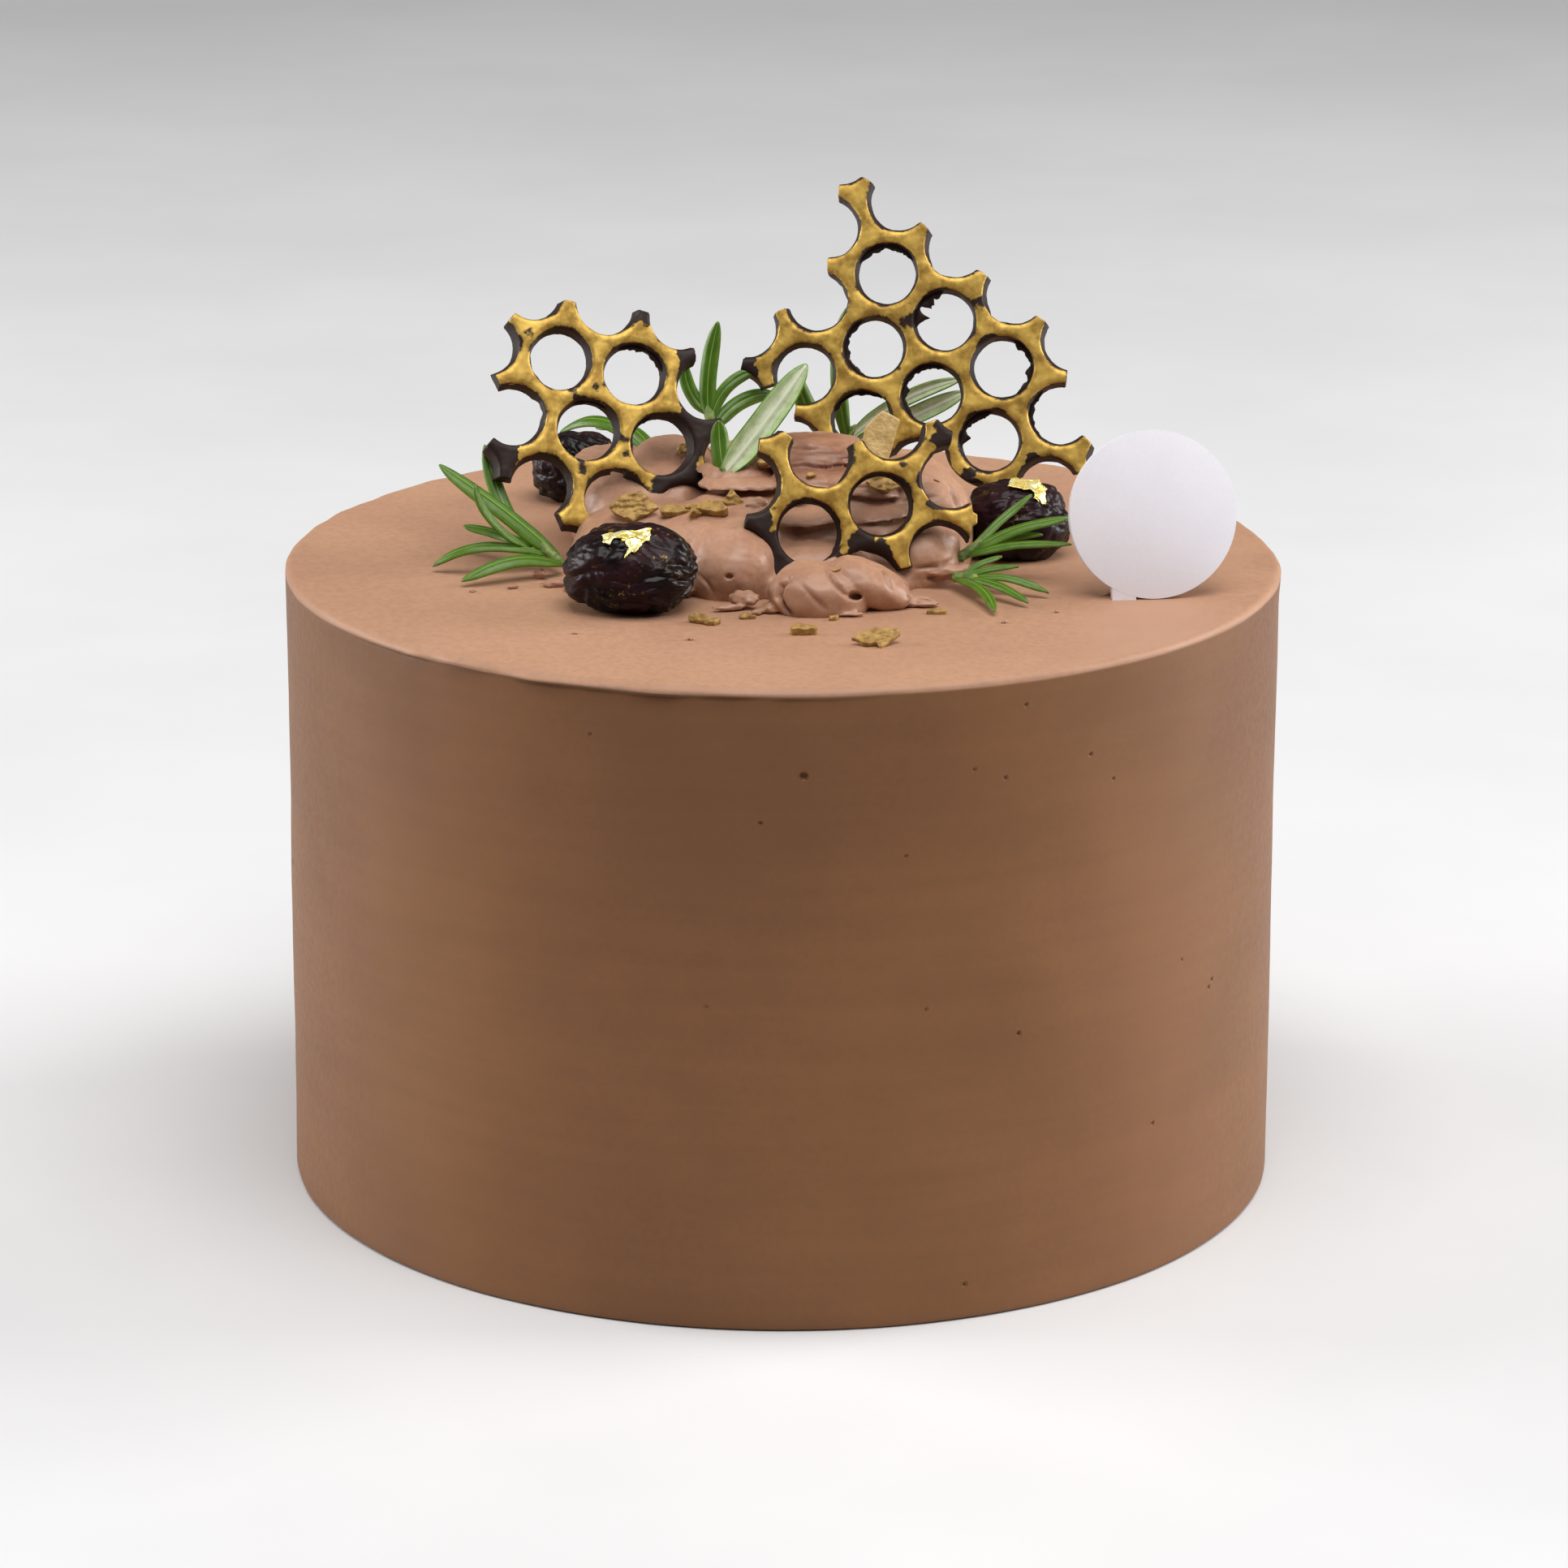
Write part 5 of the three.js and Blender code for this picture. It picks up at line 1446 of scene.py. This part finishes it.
def pierced_plate(plate):
    """Rings and arms of chocolate less the holes of the lattice."""
    draw = random.Random(len(plate["arms"]))
    reaches = [(hole_place(*ring), RING_REACH) for ring in plate["rings"]]
    for first, second in itertools.combinations([place for place, _ in reaches], 2):
        if (first - second).length < NEIGHBOUR_REACH:
            reaches.append(((first + second) / 2, WEB_REACH))
    slugs = [slug(place, reach, reach, 0, -PLATE_THICKNESS) for place, reach in reaches]
    for column, row, triangle, share in plate["arms"]:
        place = joint_place(column, row, triangle)
        reach = share * HOLE_PITCH / math.cos(math.pi / BREAK_SIDES)
        reaches.append((place, reach))
        turn = BREAK_TURN + draw.uniform(-BREAK_SWAY, BREAK_SWAY)
        slugs.append(slug(place, reach, reach, 0, -PLATE_THICKNESS, BREAK_SIDES, turn))
    body = joined(slugs)
    holes = []
    hole_places = []
    widening = CUT_PAST * (HOLE_FRONT_RADIUS - HOLE_BACK_RADIUS) / PLATE_THICKNESS
    for column in range(-LATTICE_RANGE, LATTICE_RANGE + 1):
        for row in range(-LATTICE_RANGE, LATTICE_RANGE + 1):
            place = hole_place(column, row)
            if any((middle - place).length < reach + HOLE_FRONT_RADIUS for middle, reach in reaches):
                hole_places.append(place)
                holes.append(slug(place, HOLE_FRONT_RADIUS + widening, HOLE_BACK_RADIUS - widening,
                                  CUT_PAST, -PLATE_THICKNESS - CUT_PAST))
    cutter = joined(holes)
    finish_with(body, "BOOLEAN", operation="DIFFERENCE", object=cutter, solver="EXACT", use_self=True)
    thrown_away(cutter)
    fused(body, PLATE_VOXEL, PLATE_PASSES)
    round_face(body, hole_places)
    return body, hole_places


def rim_gap(point, hole_places):
    """How far a point of a plate lies outside the nearest hole."""
    nearest = min(math.hypot(point.x - place.x, point.y - place.y) for place in hole_places)
    return nearest - HOLE_FRONT_RADIUS


def round_face(body, hole_places):
    """Lets the front face fall away softly towards the holes."""
    for vertex in body.data.vertices:
        point = vertex.co / MM
        if point.z < FACE_BAND[0]:
            continue
        fall = max(0, 1 - max(0, rim_gap(point, hole_places)) / FACE_ROUND) ** 2
        vertex.co.z -= FACE_FALL * fall * smooth_step(*FACE_BAND, point.z) * MM


def film(hole, direction, half_width, depth, seed):
    """The torn skin of chocolate left inside a hole, ragged towards its middle."""
    place = hole_place(*hole)
    outer = HOLE_FRONT_RADIUS + FILM_OVERLAP
    bpy.ops.mesh.primitive_circle_add(vertices=FILM_POINTS, radius=outer * MM, fill_type="NOTHING")
    skin = bpy.context.object
    edit(skin)
    for share in FILM_RINGS:
        bpy.ops.mesh.extrude_edges_move(TRANSFORM_OT_translate={"value": (0, 0, 0)})
        bpy.ops.transform.resize(value=(share, share, 1), center_override=(0, 0, 0))
    bpy.ops.mesh.select_all(action="DESELECT")
    edited()
    warp, warp_pitch, warp_layer = FILM_WARP
    for vertex in skin.data.vertices:
        reach = vertex.co.length / MM
        angle = math.degrees(math.atan2(vertex.co.y, vertex.co.x))
        off = abs((angle - direction + 180) % 360 - 180)
        ragged = FILM_EVEN
        for strength, pitch, layer in FILM_WAVES:
            ragged += strength * noise.noise(Vector((angle * pitch, seed, layer)))
        torn = FILM_TEAR * depth * max(0, ragged) * smooth_step(half_width, half_width * FILM_FADE, off)
        vertex.select = off > half_width
        if reach > outer - FILM_RIM_BAND:
            continue
        step_in = FILM_MIDDLE_STEP if reach > FILM_MIDDLE_BAND * outer else 1
        wanted = HOLE_BACK_RADIUS + FILM_FOOT - step_in * torn
        vertex.co *= wanted * MM / vertex.co.length
        vertex.co.z = warp * MM * noise.noise(Vector((angle * warp_pitch, seed, warp_layer)))
    pick(skin)
    bpy.ops.object.mode_set(mode="EDIT")
    bpy.ops.mesh.delete(type="VERT")
    edited()
    finish_with(skin, "SOLIDIFY", thickness=FILM_THICKNESS * MM, offset=0)
    placed(skin, Matrix.Translation(to_metres((place.x, place.y, FILM_LEVEL * PLATE_THICKNESS))))
    merged(skin)
    return skin


def gild(body, bare, hole_places):
    """Stores how well the gold covers each point: the front face, less bare patches and smudges."""
    cover = []
    for vertex in body.data.vertices:
        point = vertex.co / MM
        facing = smooth_step(*GILT_FACING, vertex.normal.z) * smooth_step(*GILT_BAND, point.z)
        if facing == 0:
            cover.append(0)
            continue
        ragged = waves(point, NO_SHIFT, *GILT_WAVES) + waves(point, NO_SHIFT, *GILT_FRAYS)
        kept = 1
        for (x, y), reach in bare:
            gap = math.hypot(point.x - x, point.y - y) - reach + ragged
            thinnest = SMUDGE_COVER if reach < SMUDGE_REACH else 0
            kept = min(kept, thinnest + (1 - thinnest) * smooth_step(*PATCH_EDGE, gap))
        grime = smooth_step(*GRIME_BAND, rim_gap(point, hole_places))
        grime *= smooth_step(*GRIME_DRIFT, noise.noise(point * GRIME_PITCH))
        cover.append(facing * kept * (1 - RIM_GRIME * grime))
    body.data.attributes.new("gilding", "FLOAT", "POINT").data.foreach_set("value", cover)


def gilded_honeycomb(name, finish):
    plate = PLATES[name]
    body, hole_places = pierced_plate(plate)
    for kind, size, strength in PLATE_UNEVEN:
        roughened(body, name + kind, size, strength)
    films = []
    for number, (hole, direction, half_width, depth) in enumerate(plate["films"]):
        films.append(film(hole, direction - plate["spin"], half_width, depth, number + len(name)))
    body = joined([body, *films])
    gild(body, plate["bare"], hole_places)
    placed(body, upright_place(plate["at"], plate["lean"], plate["yaw"], plate["spin"]))
    served(body, "gilded_" + name, [finish], [name])


# The rosemary

def bent_line(foot, middle, tip):
    """A smooth curve through three points: gives place and direction at a share of its length."""
    start, end = Vector(foot), Vector(tip)
    control = 2 * Vector(middle) - 0.5 * start - 0.5 * end

    def at(share):
        rest = 1 - share
        place = start * rest * rest + control * 2 * rest * share + end * share * share
        along = (control - start) * 2 * rest + (end - control) * 2 * share
        return place, along.normalized()

    return at


def leaf_half_width(width, share):
    foot = min(1, (share + LEAF_FOOT_START) / LEAF_FOOT_LENGTH) ** LEAF_FOOT_POWER
    tip = max(0, (share - LEAF_TIP_FROM) / (1 - LEAF_TIP_FROM))
    return width / 2 * foot * math.sqrt(1 - LEAF_TIP_SHARE * tip * tip)


def rosemary_leaf(foot, middle, tip, width, facing, upper, under):
    """A needle leaf: arched across, grooved along its middle, with its edges rolled under."""
    leaf = unit_sheet(LEAF_GRID)
    leaf.data.materials.append(upper)
    leaf.data.materials.append(under)
    line = bent_line(foot, middle, tip)
    hint = Vector(facing)
    for vertex in leaf.data.vertices:
        side = -vertex.co.x
        share = (vertex.co.y + 1) / 2
        place, along = line(share)
        across = hint.cross(along).normalized()
        up = along.cross(across).normalized()
        half = leaf_half_width(width, share)
        roll = -LEAF_ROLL * half * abs(side) ** LEAF_ROLL_POWER
        groove = -LEAF_GROOVE * half * bell(side, LEAF_GROOVE_HALF)
        waver = waves(place, Vector((side, 0, 0)), *LEAF_WAVES)
        vertex.co = (place + across * side * half * LEAF_SPREAD + up * (roll + groove + waver)) * MM
    finish_with(leaf, "SOLIDIFY", thickness=LEAF_THICKNESS * MM, offset=-1, material_offset=1,
                material_offset_rim=0)
    return leaf


def rosemary_stem(points):
    """A thin woody stem along its curve, closed at both ends."""
    stem = unit_sheet(STEM_GRID)
    line = bent_line(*points)
    for vertex in stem.data.vertices:
        angle = math.pi * vertex.co.x
        share = (vertex.co.y + 1) / 2
        place, along = line(share)
        across = Vector((0, 0, 1)).cross(along).normalized()
        up = along.cross(across).normalized()
        end = max(STEM_TIP, 1 - max(0, abs(vertex.co.y) - (1 - STEM_END)) / STEM_END) ** 0.5
        reach = STEM_RADIUS * end * (1 + waves(place, NO_SHIFT, *STEM_KNOTS))
        vertex.co = (place + (across * math.cos(angle) - up * math.sin(angle)) * reach) * MM
    merged(stem)
    return stem


def rosemary_sprig(name, upper, under, wood):
    points, leaves = SPRIGS[name]
    pieces = []
    for leaf in leaves:
        piece = rosemary_leaf(*leaf, upper, under)
        finish_with(piece, "SUBSURF", levels=1, render_levels=1)
        pieces.append(piece)
    stem = rosemary_stem(points)
    stem.data.materials.append(wood)
    sprig = joined([*pieces, stem])
    served(sprig, "rosemary_" + name, [], [name])


# The flakes and the standing chip

def flake(outline, radius, thickness, place, draw):
    """A torn flake of gilded chocolate with a grained face."""
    corners = [to_metres((across, along, 0)) * radius * draw.uniform(*FLAKE_UNEVEN)
               for across, along in FLAKE_OUTLINES[outline]]
    piece = slab(corners, thickness)
    fused(piece, FLAKE_VOXEL, 0)
    shift = Vector((draw.uniform(0, FLAKE_SPREAD), draw.uniform(0, FLAKE_SPREAD), 0))
    across_pitch, along_pitch = FLAKE_GRAIN_PITCH
    for vertex in piece.data.vertices:
        point = vertex.co / MM + shift
        bark = point.y + waves(point, NO_SHIFT, *FLAKE_WANDER)
        grain = noise.noise(Vector((point.x * across_pitch, bark * along_pitch, 0)))
        lumps = noise.noise(point * FLAKE_LUMP_PITCH)
        squashed = Vector((point.x, point.y, point.z * FLAKE_TEAR_SQUASH))
        torn = noise.noise_vector(squashed * FLAKE_TEAR_PITCH)
        rise = (FLAKE_GRAIN * grain + FLAKE_LUMPS * lumps) * MM
        vertex.co.z += rise * smooth_step(0, thickness, vertex.co.z / MM)
        vertex.co += sized(torn, FLAKE_TEAR) * MM
    placed(piece, place)
    return piece


def gilded_flakes(cake, cream, finish):
    draw = random.Random(FLAKE_SEED)
    pieces = []
    for under, sink, lift, flakes in (
        (cake, CAKE_FLAKE_SINK, CAKE_FLAKE_LIFT, CAKE_FLAKES),
        (cream, 0, HEAP_FLAKE_LIFT, HEAP_FLAKES),
    ):
        for outline, (x, y), radius, thickness, turn, tilt in flakes:
            level = level_under(under, x, y) - sink + lift * radius * math.sin(math.radians(tilt))
            place = turned_place((x, y, level), turn, tilt)
            pieces.append(flake(outline, radius, thickness, place, draw))
    served(joined(pieces), "gilded_flakes", [finish], by_angle=FLAKE_CREASE)


def standing_chip(finish):
    """The broad chip: an uneven thin slab, standing with its face to the front."""
    width, height = CHIP["width"], CHIP["height"]
    corners = [to_metres((across * width, up * height, 0)) for across, up in CHIP_OUTLINE]
    chip = slab(corners, CHIP["thickness"])
    fused(chip, FLAKE_VOXEL, CHIP_PASSES)
    roughened(chip, *CHIP_UNEVEN)
    placed(chip, upright_place(CHIP["at"], CHIP["lean"], 0, CHIP["spin"]))
    served(chip, "broad_gilded_chip", [finish], ["gilded_chip"])


# The topper

def plain_round_topper(finish):
    """A thin round disc with softened edges on a short stem that stands in the icing."""
    radius, thickness = TOPPER["radius"], TOPPER["thickness"]
    bpy.ops.mesh.primitive_cylinder_add(vertices=TOPPER_SIDES, radius=radius * MM, depth=thickness * MM)
    disc = bpy.context.object
    bpy.ops.mesh.primitive_cube_add(size=1)
    stem = bpy.context.object
    size = Vector((TOPPER_STEM["width"], TOPPER_STEM["length"], thickness * TOPPER_STEM["slimmer"])) * MM
    foot = Matrix.Translation(to_metres((-TOPPER_STEM["left"], -TOPPER_STEM["drop"], 0)))
    placed(stem, foot @ Matrix.Diagonal((*size, 1)))
    finish_with(disc, "BOOLEAN", operation="UNION", object=stem, solver="EXACT")
    thrown_away(stem)
    finish_with(disc, "BEVEL", width=TOPPER_BEVEL * MM, segments=TOPPER_BEVEL_STEPS,
                limit_method="ANGLE", angle_limit=math.radians(TOPPER_BEVEL_ANGLE))
    placed(disc, upright_place(TOPPER["centre"], TOPPER["lean"], TOPPER["yaw"], 0))
    cut_below(disc, CAKE_TOP - TOPPER_SINK)
    served(disc, "plain_round_topper", [finish], ["round_topper"], by_angle=TOPPER_CREASE)


# Floor, light and camera

def set_stage():
    bpy.ops.mesh.primitive_plane_add(size=FLOOR_SIZE)
    floor = bpy.context.object
    floor.name = "pale_floor"
    floor.data.materials.append(floor_finish())
    world = bpy.data.worlds.new("studio")
    bpy.context.scene.world = world
    world.use_nodes = True
    sky = world.node_tree.nodes["Background"]
    sky.inputs["Color"].default_value = SKY_COLOUR
    sky.inputs["Strength"].default_value = SKY_STRENGTH
    bpy.context.scene.view_settings.view_transform = "Standard"


def soft_lamp(name, place, aim, size, power):
    """A square soft lamp that looks at its aim."""
    bpy.ops.object.light_add(type="AREA")
    lamp = bpy.context.object
    lamp.name = name
    lamp.data.shape = "SQUARE"
    lamp.data.size = size
    lamp.data.energy = power
    lamp.data.color = LAMP_COLOUR
    toward = Vector(aim) - Vector(place)
    turn = toward.to_track_quat("-Z", "Y").to_matrix().to_4x4()
    lamp.matrix_world = Matrix.Translation(Vector(place)) @ turn


def set_lamps():
    for lamp in LAMPS:
        soft_lamp(*lamp)


def set_camera():
    pitch, roll = math.radians(CAMERA_PITCH), math.radians(CAMERA_ROLL)
    ahead = Vector((0, math.cos(pitch), -math.sin(pitch)))
    level_up = Vector((0, math.sin(pitch), math.cos(pitch)))
    right = math.cos(roll) * Vector((1, 0, 0)) + math.sin(roll) * level_up
    up = -math.sin(roll) * Vector((1, 0, 0)) + math.cos(roll) * level_up
    place = to_metres(Vector(CAMERA_AIM) - CAMERA_DISTANCE * ahead)
    bpy.ops.object.camera_add()
    camera = bpy.context.object
    camera.matrix_world = Matrix((
        (right.x, up.x, -ahead.x, place.x),
        (right.y, up.y, -ahead.y, place.y),
        (right.z, up.z, -ahead.z, place.z),
        (0, 0, 0, 1),
    ))
    camera.data.sensor_width = SENSOR
    camera.data.lens = CAMERA_LENS
    camera.data.clip_start = CLIP_START * MM
    bpy.context.scene.camera = camera


# The whole cake

bpy.ops.object.select_all(action="DESELECT")

icing = icing_finish()
buttercream = buttercream_finish()
gilded_chocolate = honeycomb_finish()
flake_gold = flake_finish("gilded_flake", gold="b08c4d", old_gold="8a6936", cover=0.88)
chip_gold = flake_finish("pale_gilded_chip", gold="d2b47a", old_gold="bd9c60", cover=1.0)
leaf_upper = leaf_finish("rosemary_upper", body="4a7012", edge="638a25", rib="8aab4a", rib_width=0.045,
                         roughness=0.32, relief=0.25, glow=0.08)
leaf_under = leaf_finish("rosemary_underside", body="d3ddbb", edge="b5cf94", rib="e4ebd2", rib_width=0.09,
                         roughness=0.6, relief=0.3)
stem_wood = stem_finish()
cherry_skin = cherry_finish()
leaf_of_gold = gold_leaf_finish()
card = topper_finish()

cake = iced_cake(icing)
cream = spooned_buttercream(buttercream)
cherries = {name: sour_cherry(name, cherry_skin) for name in CHERRIES}
scraps = []
for seed, (name, corners, curl_height) in enumerate(GOLD_SCRAPS):
    scraps.append(gold_scrap(cherries[name], corners, curl_height, seed))
served(joined(scraps), "gold_leaf_scraps", [leaf_of_gold])
for name in PLATES:
    gilded_honeycomb(name, gilded_chocolate)
for name in SPRIGS:
    rosemary_sprig(name, leaf_upper, leaf_under, stem_wood)
gilded_flakes(cake, cream, flake_gold)
standing_chip(chip_gold)
plain_round_topper(card)

set_stage()
set_lamps()
set_camera()
